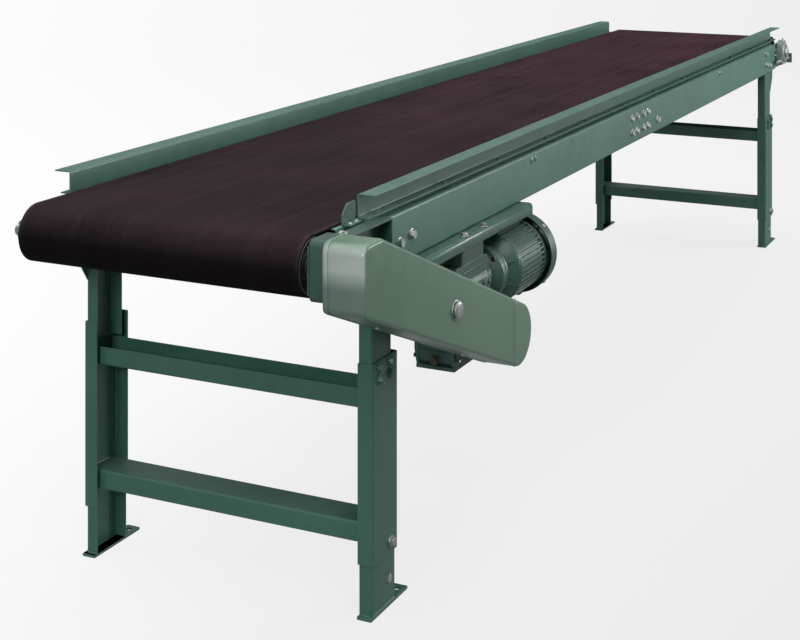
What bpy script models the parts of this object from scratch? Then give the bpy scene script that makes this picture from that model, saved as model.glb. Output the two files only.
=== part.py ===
"""Slider-bed belt conveyor section with an end drive, side-hung gearmotor and two H supports.

Frame: +X along the conveyor from the drive end to the tail end, +Y to the left of
the direction of travel, +Z up, floor at Z = 0.  Dimensions are millimetres.
The root empty centres the whole model on the origin in X and Y.
"""
import math
import bpy
import bmesh
import numpy as np
from mathutils import Matrix

MM = 0.001
GAP = 0.3                 # usual clearance between neighbouring pieces
SIDES = (("right", -1), ("left", 1))

# ----- belt, pulleys and shafts -----
BELT_TOP = 756.0          # carrying surface above the floor
BELT_T = 4.9
BELT_HALF = 304.0         # half belt width
PULLEY_R = 50.6
PULLEY_HALF = 304.5
SHAFT_R = 12.7
SHAFT_BORE = SHAFT_R + GAP
SHAFT_Z = BELT_TOP - BELT_T - PULLEY_R - GAP
DRIVE_X, TAIL_X = -1842.0, 1765.0
DRIVE_SHAFT_Y = (-425.0, 348.0)
TAIL_SHAFT_HALF = 366.0
TAKEUP = 40.0             # travel of the take-up blocks towards the drive end
DRIVE_CENTRE = (DRIVE_X, 0, SHAFT_Z)
TAIL_CENTRE = (TAIL_X, 0, SHAFT_Z)

# ----- return run -----
ROLLER_R, ROLLER_HALF = 24.0, 302.0
AXLE_R = 6.0
RETURN_Z = 695.0          # underside of the returning belt
ROLLER_Z = RETURN_Z - GAP - ROLLER_R
SNUB_DRIVE_X, RETURN_X, SNUB_TAIL_X = -1676.0, 170.0, 1560.0

# ----- bed -----
FRAME_HALF = 330.0        # outer face of the bed channels and legs
CHANNEL_Z0, CHANNEL_Z1 = 637.4, 739.0
CHANNEL_T, CHANNEL_FLANGE = 3.4, 38.0
BED_X0, BED_X1 = -1712.0, 1708.0
HALF_JOINT = 0.5          # each bed half stops this far from X = 0
COPE_X = 1666.0           # flanges cut back from here so that the tail pulley can move in
COPE_Y = 270.0
INNER_Y = FRAME_HALF - CHANNEL_T - GAP    # pieces that sit inside the channel webs
PAN_TOP, PAN_T, PAN_HALF = 750.7, 2.0, 313.0
PAN_X0, PAN_X1 = -1772.0, 1672.0
SPLICE_HALF, SPLICE_T, SPLICE_MARGIN = 95.0, 5.0, 7.0
TIE_X = {"drive": -830.0, "tail": 890.0}
TIE_T, TIE_HALF, TIE_RIM_DROP, TIE_WEB_DROP, TIE_END_GAP = 3.0, 20.0, 30.0, 2.0, 2.5

# ----- guard rails -----
RAIL_IN, RAIL_T = 306.6, 2.7
RAIL_Z0, RAIL_Z1 = 751.0, 797.0
RAIL_BOTTOM_W, RAIL_TOP_W = 331.0, 345.0
RAIL_RIGHT_X = (-1678.0, 1715.0)
RAIL_LEFT_X = (-1735.0, 1655.0)

# ----- end plates, bearings and take-ups -----
PLATE_IN, PLATE_OUT = INNER_Y - 6, INNER_Y
PLATE_Z0, PLATE_Z1 = 643.5, 733.0
PLATE_HOLE_R = 9.0        # holes for the snub axles
NOSE_R = 31.0             # rounded end of the drive plates
TAIL_PLATE_X0, TAIL_PLATE_X1, TAIL_PLATE_BEVEL = 1530.0, 1852.0, 6.0
SLOT_R = 14.0
EAR_Y, EAR_HALF = 362.0, 18.0
BLOCK_HALF, BLOCK_BEVEL = 45.0, 2.0
BLOCK_Y = (330.6, 361.0)
SCREW_Y, SCREW_Z = 346.0, SHAFT_Z - 31.0
SCREW_R, SCREW_HEAD_R = 6.0, 10.0
SCREW_START, SCREW_END = 1671.0, 1861.0

# ----- supports -----
LEG_X = 1606.0
LEG_W, LEG_FLANGE, LEG_T = 108.0, 32.0, 3.4
LEG_Z0, LEG_Z1 = 100.0, 476.0
NEST_T, NEST_FIT = 3.2, 0.4               # channels nested inside the legs
NEST_Y = FRAME_HALF - LEG_T - GAP
BAR_W, BAR_H, BAR_T = 76.0, 38.0, 3.2
BAR_LOW, BAR_HIGH = 135.0, 386.0
BRACKET_Z0, BRACKET_X1, BRACKET_RIM = 430.0, 34.0, 299.0
HEAD_Z0, HEAD_SHOULDER_Z, HEAD_REACH = 560.0, 614.0, 36.0
FOOT_TOP, FOOT_RIM = 131.0, 300.0
FLOOR_PLATE_X, FLOOR_PLATE_Y, FLOOR_PLATE_T = (-60.0, 98.0), 299.0, 5.0

# ----- gearmotor -----
REDUCER_X, REDUCER_Z = -1212.0, 436.0     # output shaft, along Y
WORM_Y, WORM_Z = -307.0, 515.0            # worm and motor shaft, along X
OUTPUT_R, WORM_SHAFT_R = 15.0, 12.0
OUTPUT_CENTRE = (REDUCER_X, 0, REDUCER_Z)
WORM_CENTRE = (0, WORM_Y, WORM_Z)
BASE_X = (-1470.0, -904.0)
BASE_HALF, BASE_RIM_Z, BASE_WEB_Z, BASE_T = 47.5, 612.0, 634.6, 5.0
HOUSING_X, HOUSING_Z, HOUSING_BEVEL = (-1322.0, -1136.0), (367.0, 575.0), 8.0
HOUSING_Y = (-352.0, -252.0)
FLANGE_R, FLANGE_X = 60.0, (-1104.0, -1085.0)

# ----- chain drive and its guard -----
CHAIN_Y = -404.35
PITCH = 15.875
TEETH_DRIVEN, TEETH_DRIVER = 18, 14
HUB_END_Y = -384.0
GUARD_FRONT = -1913.0     # end facing -X
GUARD_IN, GUARD_OUT = -362.0, -444.0
GUARD_T = 2.0             # cover sheet
GUARD_BACK_T = 2.4
GUARD_HOLE_R = 20.0
GUARD_CORNERS = [         # x, z, radius
    (-1199.0, 425.5, 64.4),
    (-1848.0, 743.0, 20.0),
    (GUARD_FRONT + 20.0, 743.0, 20.0),
    (GUARD_FRONT + 16.0, 652.9, 16.0),
]

# ----- box between bed and guard -----
MOUNT_X0, MOUNT_X1 = -1903.0, -1640.0
MOUNT_Z0, MOUNT_LOW_TOP, MOUNT_TOP = SHAFT_Z - 48, SHAFT_Z + 50, SHAFT_Z + 61
MOUNT_STEP_X = (-1838.0, -1828.0)         # slope from the high top to the low top
MOUNT_CORNER = 12.0

FINISHES = {
    "paint": dict(colour=(0.075, 0.15, 0.12), metallic=0.0, roughness=0.45),
    "guard": dict(colour=(0.10, 0.16, 0.105), metallic=0.0, roughness=0.45),
    "steel": dict(colour=(0.45, 0.45, 0.44), metallic=1.0, roughness=0.35),
    "dark": dict(colour=(0.03, 0.055, 0.045), metallic=0.0, roughness=0.5),
    "rubber": dict(colour=(0.03, 0.024, 0.026), metallic=0.0, roughness=0.8),
    "bronze": dict(colour=(0.45, 0.27, 0.1), metallic=1.0, roughness=0.4),
}

# ---------- scene ----------
for old in list(bpy.data.objects):
    bpy.data.objects.remove(old, do_unlink=True)


def collection(name):
    new = bpy.data.collections.new(name)
    bpy.context.scene.collection.children.link(new)
    return new


pieces = collection("belt_conveyor_section")
workshop = collection("cutters")          # holds solids while they are being shaped

root = bpy.data.objects.new("root", None)
root.location = (-(GUARD_FRONT + SCREW_END) / 2 * MM, -(GUARD_OUT + TAIL_SHAFT_HALF) / 2 * MM, 0)
pieces.objects.link(root)


def material(name, colour, metallic, roughness):
    mat = bpy.data.materials.new(name)
    mat.use_nodes = True
    inputs = mat.node_tree.nodes["Principled BSDF"].inputs
    inputs["Base Color"].default_value = (*colour, 1)
    inputs["Metallic"].default_value = metallic
    inputs["Roughness"].default_value = roughness
    return mat


def finish(solid, name, kind, origin=None):
    """Name a solid, give it its own material and move it from the workshop to the pieces."""
    solid.name = name
    solid.data.name = name
    solid.data.materials.clear()
    solid.data.materials.append(material("mat_" + name, **FINISHES[kind]))
    workshop.objects.unlink(solid)
    pieces.objects.link(solid)
    solid.parent = root
    if origin:
        move_origin(solid, origin)


def move_origin(solid, point):
    """Put the object's origin at a point in mm without moving its surface."""
    target = Matrix.Translation([c * MM for c in point])
    solid.data.transform(target.inverted() @ solid.matrix_basis)
    solid.rotation_euler = (0, 0, 0)
    solid.location = target.translation


# ---------- planar outlines (points in mm) ----------

def span(side, a, b):
    """The Y range between distances a and b from the centre line, on side -1 or +1."""
    return sorted((side * a, side * b))


def arc(cx, cy, r, start, end, steps):
    angles = [math.radians(start + (end - start) * i / steps) for i in range(steps + 1)]
    return [(cx + r * math.cos(a), cy + r * math.sin(a)) for a in angles]


def circle(cx, cy, r, steps):
    return arc(cx, cy, r, 0, 360, steps)[:-1]


def u_line(a0, a1, rim, web):
    """Mid-line of a U section: flanges at a0 and a1, open at rim, closed at web."""
    return [(a0, rim), (a0, web), (a1, web), (a1, rim)]


def mirror_y(points):
    return [(-y, z) for y, z in points][::-1]


def sheet(mid_line, thickness, bend_r, steps=3):
    """Closed outline of a bent sheet following a mid-line with bend radius bend_r."""
    points = [np.array(p, float) for p in mid_line]
    dirs = [(b - a) / np.linalg.norm(b - a) for a, b in zip(points, points[1:])]
    normals = [np.array([-d[1], d[0]]) for d in dirs]
    line = [(points[0], normals[0])]
    for i in range(1, len(points) - 1):
        before, after, normal = dirs[i - 1], dirs[i], normals[i - 1]
        turn = math.atan2(before[0] * after[1] - before[1] * after[0], float(before @ after))
        sign = 1 if turn > 0 else -1
        start = points[i] - before * bend_r * math.tan(abs(turn) / 2)
        centre = start + sign * bend_r * normal
        for j in range(steps + 1):
            c, s = math.cos(turn * j / steps), math.sin(turn * j / steps)
            turned_normal = np.array([normal[0] * c - normal[1] * s,
                                      normal[0] * s + normal[1] * c])
            line.append((centre - sign * bend_r * turned_normal, turned_normal))
    line.append((points[-1], normals[-1]))
    left = [tuple(p + n * thickness / 2) for p, n in line]
    right = [tuple(p - n * thickness / 2) for p, n in line]
    return left + right[::-1]


def loop_path(circles, steps=14):
    """Points and outward normals of a band round circles (x, z, radius, side).

    Side +1 puts the circle inside the band, -1 outside; steps are per half turn.
    """
    count = len(circles)
    headings = []
    for i in range(count):
        xa, za, ra, side_a = circles[i]
        xb, zb, rb, side_b = circles[(i + 1) % count]
        length = math.hypot(xb - xa, zb - za)
        headings.append(math.atan2(zb - za, xb - xa)
                        + math.asin((side_a * ra - side_b * rb) / length))
    path = []
    for i in range(count):
        x, z, r, side = circles[i]
        start, end = headings[i - 1], headings[i]
        if side > 0:
            sweep = (end - start) % (2 * math.pi)
        else:
            sweep = -((start - end) % (2 * math.pi))
        arc_steps = max(2, int(abs(sweep) / math.pi * steps) + 1)
        for j in range(arc_steps + 1):
            heading = start + sweep * j / arc_steps
            nx, nz = math.sin(heading), -math.cos(heading)
            path.append(((x + side * r * nx, z + side * r * nz), (nx, nz)))
    return path


def offset(path, distance):
    return [(p[0] + n[0] * distance, p[1] + n[1] * distance) for p, n in path]


# ---------- solids ----------

def evaluated_mesh(obj):
    bpy.context.view_layer.update()
    depsgraph = bpy.context.evaluated_depsgraph_get()
    return bpy.data.meshes.new_from_object(obj.evaluated_get(depsgraph))


def clean(mesh, merge=1e-6, dissolve=True, recalc=True):
    bm = bmesh.new()
    bm.from_mesh(mesh)
    bmesh.ops.remove_doubles(bm, verts=bm.verts, dist=merge)
    if dissolve:
        bmesh.ops.dissolve_degenerate(bm, edges=bm.edges, dist=1e-7)
    if recalc:
        bmesh.ops.recalc_face_normals(bm, faces=bm.faces)
    bm.to_mesh(mesh)
    bm.free()


PRISM_ROTATION = {"X": (math.pi / 2, 0, math.pi / 2), "Y": (math.pi / 2, 0, 0), "Z": (0, 0, 0)}
TURNED_ROTATION = {"X": (0, math.pi / 2, 0), "Y": (-math.pi / 2, 0, 0)}


def prism(loops, axis, low, high):
    """Extruded outline.  Axis X: (y, z) loops; axis Y: (x, z) loops; axis Z: (x, y) loops."""
    curve = bpy.data.curves.new("outline", "CURVE")
    curve.dimensions = "2D"
    curve.fill_mode = "BOTH"
    curve.extrude = (high - low) / 2 * MM
    for points in loops:
        spline = curve.splines.new("POLY")
        spline.points.add(len(points) - 1)
        for point, (a, b) in zip(spline.points, points):
            point.co = (a * MM, b * MM, 0, 1)
        spline.use_cyclic_u = True
    outline = bpy.data.objects.new("outline", curve)
    workshop.objects.link(outline)
    mesh = evaluated_mesh(outline)
    bpy.data.objects.remove(outline, do_unlink=True)
    clean(mesh, dissolve=False)
    solid = bpy.data.objects.new("prism", mesh)
    solid.rotation_euler = PRISM_ROTATION[axis]
    solid.location["XYZ".index(axis)] = (low + high) / 2 * MM
    workshop.objects.link(solid)
    return solid


def box(x0, x1, y0, y1, z0, z1):
    return prism([[(x0, y0), (x1, y0), (x1, y1), (x0, y1)]], "Z", z0, z1)


def turned(profile, axis, centre, steps):
    """Solid of revolution; profile = loop of (radius, position along the axis)."""
    count = len(profile)
    edges = [(i, i + 1) for i in range(count - 1)]
    if profile[0][0] > 0 or profile[-1][0] > 0:
        edges.append((count - 1, 0))
    mesh = bpy.data.meshes.new("profile")
    mesh.from_pydata([(r * MM, 0, h * MM) for r, h in profile], edges, [])
    solid = bpy.data.objects.new("turned", mesh)
    workshop.objects.link(solid)
    screw = solid.modifiers.new("Screw", "SCREW")
    screw.axis = "Z"
    screw.steps = steps
    screw.render_steps = steps
    screw.use_merge_vertices = True
    screw.merge_threshold = 0.00001
    mesh = evaluated_mesh(solid)
    clean(mesh)
    solid.modifiers.clear()
    solid.data = mesh
    solid.rotation_euler = TURNED_ROTATION[axis]
    solid.location = [c * MM for c in centre]
    return solid


def rod(r, low, high, axis, centre, steps=24, chamfer=1.5):
    profile = [(0, high), (r - chamfer, high), (r, high - chamfer),
               (r, low + chamfer), (r - chamfer, low), (0, low)]
    return turned(profile, axis, centre, steps)


def drum(r, half, wall, disc, bore, centre, steps):
    """Hollow roller along Y with an end disc of thickness disc at each end."""
    edge = 1.0            # chamfer
    profile = [(bore, half), (r - edge, half), (r, half - edge),
               (r, -half + edge), (r - edge, -half), (bore, -half),
               (bore, -half + disc), (r - wall, -half + disc),
               (r - wall, half - disc), (bore, half - disc)]
    return turned(profile, "Y", centre, steps)


def boolean(base, operation, *parts):
    """Join parts to the base or cut them from it, then discard them."""
    for part in parts:
        modifier = base.modifiers.new("Bool", "BOOLEAN")
        modifier.operation = operation
        modifier.solver = "EXACT"
        modifier.object = part
    mesh = evaluated_mesh(base)
    clean(mesh, merge=2e-6, recalc=False)
    base.modifiers.clear()
    base.data = mesh
    for part in parts:
        bpy.data.objects.remove(part, do_unlink=True)


# ---------- bed ----------

def build_bed_channels():
    half_t = CHANNEL_T / 2
    mid_line = [(y, z) for z, y in u_line(CHANNEL_Z0 + half_t, CHANNEL_Z1 - half_t,
                                          -FRAME_HALF + CHANNEL_FLANGE, -FRAME_HALF + half_t)]
    right = sheet(mid_line, CHANNEL_T, 4.5)
    for name, side in SIDES:
        profile = right if side < 0 else mirror_y(right)
        finish(prism([profile], "X", BED_X0, -HALF_JOINT), f"bed_channel_drive_{name}", "paint")
        tail = prism([profile], "X", HALF_JOINT, BED_X1)
        boolean(tail, "DIFFERENCE", box(COPE_X, BED_X1 + 10, *span(side, INNER_Y, COPE_Y),
                                        CHANNEL_Z0 - 10, CHANNEL_Z1 + 10))
        finish(tail, f"bed_channel_tail_{name}", "paint")


def build_pans():
    half = PAN_HALF - PAN_T / 2
    profile = sheet(u_line(-half, half, CHANNEL_Z1 + GAP, PAN_TOP - PAN_T / 2), PAN_T, 2.0, 2)
    finish(prism([profile], "X", PAN_X0, -HALF_JOINT), "slider_pan_drive", "paint")
    finish(prism([profile], "X", HALF_JOINT, PAN_X1), "slider_pan_tail", "paint")


def build_splices_and_ties():
    for name, side in SIDES:
        plate = box(-SPLICE_HALF, SPLICE_HALF, *span(side, INNER_Y, INNER_Y - SPLICE_T),
                    CHANNEL_Z0 + SPLICE_MARGIN, CHANNEL_Z1 - SPLICE_MARGIN)
        finish(plate, f"splice_plate_{name}", "paint")
    flange_z = CHANNEL_Z1 - CHANNEL_T     # underside of the channels' upper flanges
    half_y = INNER_Y - TIE_END_GAP
    for name, x in TIE_X.items():
        mid_line = u_line(x - TIE_HALF, x + TIE_HALF,
                          flange_z - TIE_RIM_DROP, flange_z - TIE_WEB_DROP)
        profile = sheet(mid_line, TIE_T, 3.5, 2)
        finish(prism([profile], "Y", -half_y, half_y), f"cross_tie_{name}", "paint")


def build_guard_rails():
    half_t = RAIL_T / 2
    mid_line = [(-RAIL_BOTTOM_W, RAIL_Z0 + half_t), (-RAIL_IN - half_t, RAIL_Z0 + half_t),
                (-RAIL_IN - half_t, RAIL_Z1 - half_t), (-RAIL_TOP_W, RAIL_Z1 - half_t)]
    right = sheet(mid_line, RAIL_T, 3.0)
    finish(prism([right], "X", *RAIL_RIGHT_X), "guard_rail_right", "paint")
    finish(prism([mirror_y(right)], "X", *RAIL_LEFT_X), "guard_rail_left", "paint")


# ---------- belt, pulleys, rollers ----------

def build_belt():
    pulley_mid = PULLEY_R + GAP + BELT_T / 2
    roller_mid = ROLLER_R + GAP + BELT_T / 2
    path = loop_path([
        (TAIL_X, SHAFT_Z, pulley_mid, 1),
        (DRIVE_X, SHAFT_Z, pulley_mid, 1),
        (SNUB_DRIVE_X, ROLLER_Z, roller_mid, -1),
        (SNUB_TAIL_X, ROLLER_Z, roller_mid, -1),
        # just beyond the take-up travel, so that the pulley can move in
        (TAIL_X - TAKEUP - 2, SHAFT_Z, pulley_mid, 1),
    ], 18)
    loops = [offset(path, BELT_T / 2), offset(path, -BELT_T / 2)]
    finish(prism(loops, "Y", -BELT_HALF, BELT_HALF), "conveyor_belt", "rubber")


def build_pulleys_and_rollers():
    for name, centre in (("drive_pulley", DRIVE_CENTRE), ("tail_pulley", TAIL_CENTRE)):
        pulley = drum(PULLEY_R, PULLEY_HALF, wall=6, disc=10, bore=SHAFT_BORE,
                      centre=centre, steps=36)
        finish(pulley, name, "steel")
    finish(rod(SHAFT_R, *DRIVE_SHAFT_Y, "Y", DRIVE_CENTRE), "drive_shaft", "steel")
    finish(rod(SHAFT_R, -TAIL_SHAFT_HALF, TAIL_SHAFT_HALF, "Y", TAIL_CENTRE),
           "tail_shaft", "steel")
    for name, x in (("snub_roller_drive", SNUB_DRIVE_X), ("return_roller", RETURN_X),
                    ("snub_roller_tail", SNUB_TAIL_X)):
        centre = (x, 0, ROLLER_Z)
        roller = drum(ROLLER_R, ROLLER_HALF, wall=2, disc=12, bore=AXLE_R + GAP,
                      centre=centre, steps=24)
        finish(roller, name, "steel")
        finish(rod(AXLE_R, -INNER_Y, INNER_Y, "Y", centre, 12, 0.8),
               name.replace("roller", "axle"), "steel")


# ---------- end plates, bearings, take-ups ----------

def build_drive_end(name, side):
    outline = ([(-1480, PLATE_Z0), (-1480, PLATE_Z1), (-1772, PLATE_Z1)]
               + arc(DRIVE_X, SHAFT_Z, NOSE_R, 75, 285, 12)
               + [(-1792, PLATE_Z0)])
    loops = [outline, circle(DRIVE_X, SHAFT_Z, 17, 24),
             circle(SNUB_DRIVE_X, ROLLER_Z, PLATE_HOLE_R, 16)]
    finish(prism(loops, "Y", *span(side, PLATE_IN, PLATE_OUT)),
           f"drive_end_plate_{name}", "paint")

    inner, outer = PULLEY_HALF + 1.8, PLATE_IN - GAP
    profile = [(SHAFT_BORE, outer), (29, outer), (29, inner + 5), (24, inner),
               (SHAFT_BORE, inner)]
    finish(turned([(r, side * y) for r, y in profile], "Y", DRIVE_CENTRE, 28),
           f"drive_bearing_{name}", "dark")


def build_tail_plate(name, side):
    x0, x1, bevel = TAIL_PLATE_X0, TAIL_PLATE_X1, TAIL_PLATE_BEVEL
    outline = [(x0, PLATE_Z0), (x1 - bevel, PLATE_Z0), (x1, PLATE_Z0 + bevel),
               (x1, PLATE_Z1), (x0, PLATE_Z1)]
    slot = (arc(TAIL_X, SHAFT_Z, SLOT_R, -90, 90, 8)
            + arc(TAIL_X - TAKEUP, SHAFT_Z, SLOT_R, 90, 270, 8))
    plate = prism([outline, slot, circle(SNUB_TAIL_X, ROLLER_Z, PLATE_HOLE_R, 16)],
                  "Y", *span(side, PLATE_IN, PLATE_OUT))
    # ear that carries the take-up screw
    boolean(plate, "UNION", box(x1 - 6, x1 - 0.1, *span(side, PLATE_OUT - 3, EAR_Y),
                                SCREW_Z - EAR_HALF, SCREW_Z + EAR_HALF))
    boolean(plate, "DIFFERENCE", rod(SCREW_R + 0.6, x1 - 12, x1 + 8, "X",
                                     (0, side * SCREW_Y, SCREW_Z), 16, 0.5))
    finish(plate, f"tail_end_plate_{name}", "paint")


def build_takeup(name, side):
    half, bevel = BLOCK_HALF, BLOCK_BEVEL
    screw_centre = (0, side * SCREW_Y, SCREW_Z)
    outline = (arc(TAIL_X, SHAFT_Z, half, 0, 180, 14)
               + [(TAIL_X - half, SHAFT_Z - half + bevel), (TAIL_X - half + bevel, SHAFT_Z - half),
                  (TAIL_X + half - bevel, SHAFT_Z - half), (TAIL_X + half, SHAFT_Z - half + bevel)])
    block = prism([outline, circle(TAIL_X, SHAFT_Z, SHAFT_BORE, 24)], "Y", *span(side, *BLOCK_Y))
    boolean(block, "DIFFERENCE",
            rod(SCREW_R + GAP, TAIL_X - 60, TAIL_X + 60, "X", screw_centre, 16, 0.5))
    finish(block, f"takeup_block_{name}", "dark", origin=TAIL_CENTRE)

    head_x = TAIL_PLATE_X1 + 0.4
    profile = [(0, SCREW_END), (SCREW_HEAD_R - 1, SCREW_END), (SCREW_HEAD_R, SCREW_END - 1),
               (SCREW_HEAD_R, head_x), (SCREW_R, head_x), (SCREW_R, SCREW_START + 1),
               (SCREW_R - 1, SCREW_START), (0, SCREW_START)]
    finish(turned(profile, "X", screw_centre, 12), f"takeup_screw_{name}", "steel")


# ---------- supports ----------

def build_leg(name, x, side):
    half_t = LEG_T / 2
    mid_line = u_line(x - LEG_W / 2 + half_t, x + LEG_W / 2 - half_t,
                      side * (FRAME_HALF - LEG_FLANGE), side * (FRAME_HALF - half_t))
    finish(prism([sheet(mid_line, LEG_T, 4.5)], "Z", LEG_Z0, LEG_Z1), f"leg_{name}", "paint",
           origin=(x, side * FRAME_HALF, LEG_Z1))


def nested_channel(x0, x1, side, rim, z0, z1):
    """Upright channel between outer faces x0 and x1, inside a leg."""
    half_t = NEST_T / 2
    mid_line = u_line(x0 + half_t, x1 - half_t, side * rim, side * (NEST_Y - half_t))
    return prism([sheet(mid_line, NEST_T, 4.2, 2)], "Z", z0, z1)


def build_upper_bracket(name, x, side):
    """Nested channel with a flared head and top plate reaching towards the conveyor's end."""
    x0, x1 = x - LEG_W / 2 + LEG_T + NEST_FIT, x + BRACKET_X1
    bracket = nested_channel(x0, x1, side, BRACKET_RIM, BRACKET_Z0, CHANNEL_Z0 - 2)
    head_top = CHANNEL_Z0 - 0.5
    # small offsets keep joined faces from coinciding
    if x < 0:
        flare = x0 - HEAD_REACH
        head = [(x0 + 1, HEAD_Z0), (flare, HEAD_SHOULDER_Z), (flare, head_top),
                (x0 + 1, head_top)]
        top_x = (flare - 0.2, x1 - 0.05)
    else:
        flare = x1 + HEAD_REACH
        head = [(x1 - 1, HEAD_Z0), (x1 - 1, head_top), (flare, head_top),
                (flare, HEAD_SHOULDER_Z)]
        top_x = (x0 + 0.05, flare + 0.2)
    boolean(bracket, "UNION",
            prism([head], "Y", *span(side, NEST_Y - 0.02, NEST_Y - NEST_T + 0.02)),
            box(*top_x, *span(side, NEST_Y - 0.04, 297.0), CHANNEL_Z0 - 4.3, CHANNEL_Z0 - GAP))
    finish(bracket, f"upper_bracket_{name}", "paint")


def build_foot(name, x, side):
    half = LEG_W / 2 - LEG_T - NEST_FIT
    foot = nested_channel(x - half, x + half, side, FOOT_RIM, FLOOR_PLATE_T / 2, FOOT_TOP)
    boolean(foot, "UNION", box(x + FLOOR_PLATE_X[0], x + FLOOR_PLATE_X[1],
                               *span(side, FRAME_HALF, FLOOR_PLATE_Y), 0, FLOOR_PLATE_T))
    finish(foot, f"foot_{name}", "paint", origin=(x, side * FRAME_HALF, 0))


def build_crossbars(end, x):
    half = BAR_W / 2 - BAR_T / 2
    # name, rim height, web height: the lower bar opens downwards, the upper one upwards
    for name, rim, web in (("lower", BAR_LOW, BAR_LOW + BAR_H - BAR_T / 2),
                           ("upper", BAR_HIGH + BAR_H, BAR_HIGH + BAR_T / 2)):
        profile = sheet(u_line(x - half, x + half, rim, web), BAR_T, 4.2)
        finish(prism([profile], "Y", -INNER_Y, INNER_Y), f"crossbar_{end}_{name}", "paint")


def build_supports():
    for end, x in (("near", -LEG_X), ("far", LEG_X)):
        for side_name, side in SIDES:
            name = f"{end}_{side_name}"
            build_leg(name, x, side)
            build_upper_bracket(name, x, side)
            build_foot(name, x, side)
        build_crossbars(end, x)


# ---------- gearmotor ----------

def build_gearmotor_base():
    mid_line = u_line(WORM_Y - BASE_HALF, WORM_Y + BASE_HALF, BASE_RIM_Z, BASE_WEB_Z)
    finish(prism([sheet(mid_line, BASE_T, 6.0)], "X", *BASE_X), "gearmotor_base", "paint")


def build_reducer_housing():
    (x0, x1), (z0, z1), bevel = HOUSING_X, HOUSING_Z, HOUSING_BEVEL
    outline = [(x0, z0 + bevel), (x0 + bevel, z0), (x1 - bevel, z0), (x1, z0 + bevel),
               (x1, z1 - bevel), (x1 - bevel, z1), (x0 + bevel, z1), (x0, z1 - bevel)]
    housing = prism([outline], "Y", *HOUSING_Y)
    boolean(housing, "UNION",
            box(-1280, -1160, WORM_Y - 40, WORM_Y + 40, z1 - 5, 631.8),       # top pad
            rod(47, -1337, -1090, "X", WORM_CENTRE, 28, 3),                   # worm tube
            rod(FLANGE_R, *FLANGE_X, "X", WORM_CENTRE, 32, 1.5),              # motor flange
            rod(43, -361.5, -245, "Y", OUTPUT_CENTRE, 28, 2))                 # output boss
    boolean(housing, "DIFFERENCE",
            rod(58, WORM_Y - 21, WORM_Y + 21, "Y", OUTPUT_CENTRE, 28, 0.5),   # wheel cavity
            rod(27, REDUCER_X - 58, REDUCER_X + 58, "X", WORM_CENTRE, 24, 0.5),
            rod(OUTPUT_R + GAP, -370, -235, "Y", OUTPUT_CENTRE, 24, 0.5),
            rod(WORM_SHAFT_R + GAP, -1345, -1080, "X", WORM_CENTRE, 24, 0.5))
    finish(housing, "reducer_housing", "dark")


def build_gears():
    r, wheel_r = OUTPUT_R, 54
    y0, y1, wheel_y0, wheel_y1 = -425, -240, WORM_Y - 15, WORM_Y + 15
    profile = [(0, y1), (r - 1, y1), (r, y1 - 1), (r, wheel_y1), (wheel_r, wheel_y1),
               (wheel_r, wheel_y0), (r, wheel_y0), (r, y0 + 1), (r - 1, y0), (0, y0)]
    finish(turned(profile, "Y", OUTPUT_CENTRE, 28), "worm_wheel_shaft", "bronze")

    r, worm_r = WORM_SHAFT_R, 24
    x0, x1 = -1340, -852
    profile = [(0, x1), (r - 1, x1), (r, x1 - 1), (r, REDUCER_X + 45), (worm_r, REDUCER_X + 42),
               (worm_r, REDUCER_X - 42), (r, REDUCER_X - 45), (r, x0 + 1), (r - 1, x0), (0, x0)]
    finish(turned(profile, "X", WORM_CENTRE, 24), "worm_shaft", "steel")


def build_motor():
    face, bore = FLANGE_X[1] + GAP, WORM_SHAFT_R + GAP
    profile = [           # radius, x
        (bore, face), (FLANGE_R, face), (FLANGE_R, -1074), (66, -1072), (75, -1056),
        (80, -1046), (80, -892), (84, -888), (91, -884), (91, -858),
        (85, -842), (70, -836), (0, -834), (0, -850), (bore, -850),
    ]
    finish(turned(profile, "X", WORM_CENTRE, 36), "motor_body", "dark")


# ---------- sprockets and chain ----------

TOOTH = (                 # angle as a fraction of half a tooth, radius beyond the pitch circle
    (-0.62, -3.6), (-0.30, 1.6), (-0.12, 4.0), (0.12, 4.0), (0.30, 1.6), (0.62, -3.6), (1, -5.0),
)


def pitch_radius(teeth):
    return PITCH / (2 * math.sin(math.pi / teeth))


def build_sprocket(name, teeth, x, z, bore, hub_r):
    outline = []
    for k in range(teeth):
        for fraction, rise in TOOTH:
            angle = math.radians(360.0 * k / teeth + 180.0 / teeth * fraction)
            r = pitch_radius(teeth) + rise
            outline.append((x + r * math.cos(angle), z + r * math.sin(angle)))
    sprocket = prism([outline], "Y", CHAIN_Y - 2.65, CHAIN_Y + 2.65)
    centre = (x, 0, z)
    boolean(sprocket, "UNION", rod(hub_r, CHAIN_Y - 2.6, HUB_END_Y, "Y", centre, 28, 1))
    boolean(sprocket, "DIFFERENCE", rod(bore, -420, -375, "Y", centre, 24, 0.5))
    finish(sprocket, name, "steel", origin=(x, CHAIN_Y, z))


def build_chain_drive():
    build_sprocket("driven_sprocket", TEETH_DRIVEN, DRIVE_X, SHAFT_Z, SHAFT_BORE, 28)
    build_sprocket("drive_sprocket", TEETH_DRIVER, REDUCER_X, REDUCER_Z, OUTPUT_R + GAP, 24.5)
    path = loop_path([(DRIVE_X, SHAFT_Z, pitch_radius(TEETH_DRIVEN), 1),
                      (REDUCER_X, REDUCER_Z, pitch_radius(TEETH_DRIVER), 1)], 16)
    chain = prism([offset(path, 6.2), offset(path, -4.5)], "Y", CHAIN_Y - 7, CHAIN_Y + 7)
    # groove for the sprocket teeth, open to the inside of the loop
    boolean(chain, "DIFFERENCE",
            prism([offset(path, 4.6)], "Y", CHAIN_Y - 3.1, CHAIN_Y + 3.1))
    finish(chain, "drive_chain", "steel")


# ---------- chain guard ----------

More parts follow.
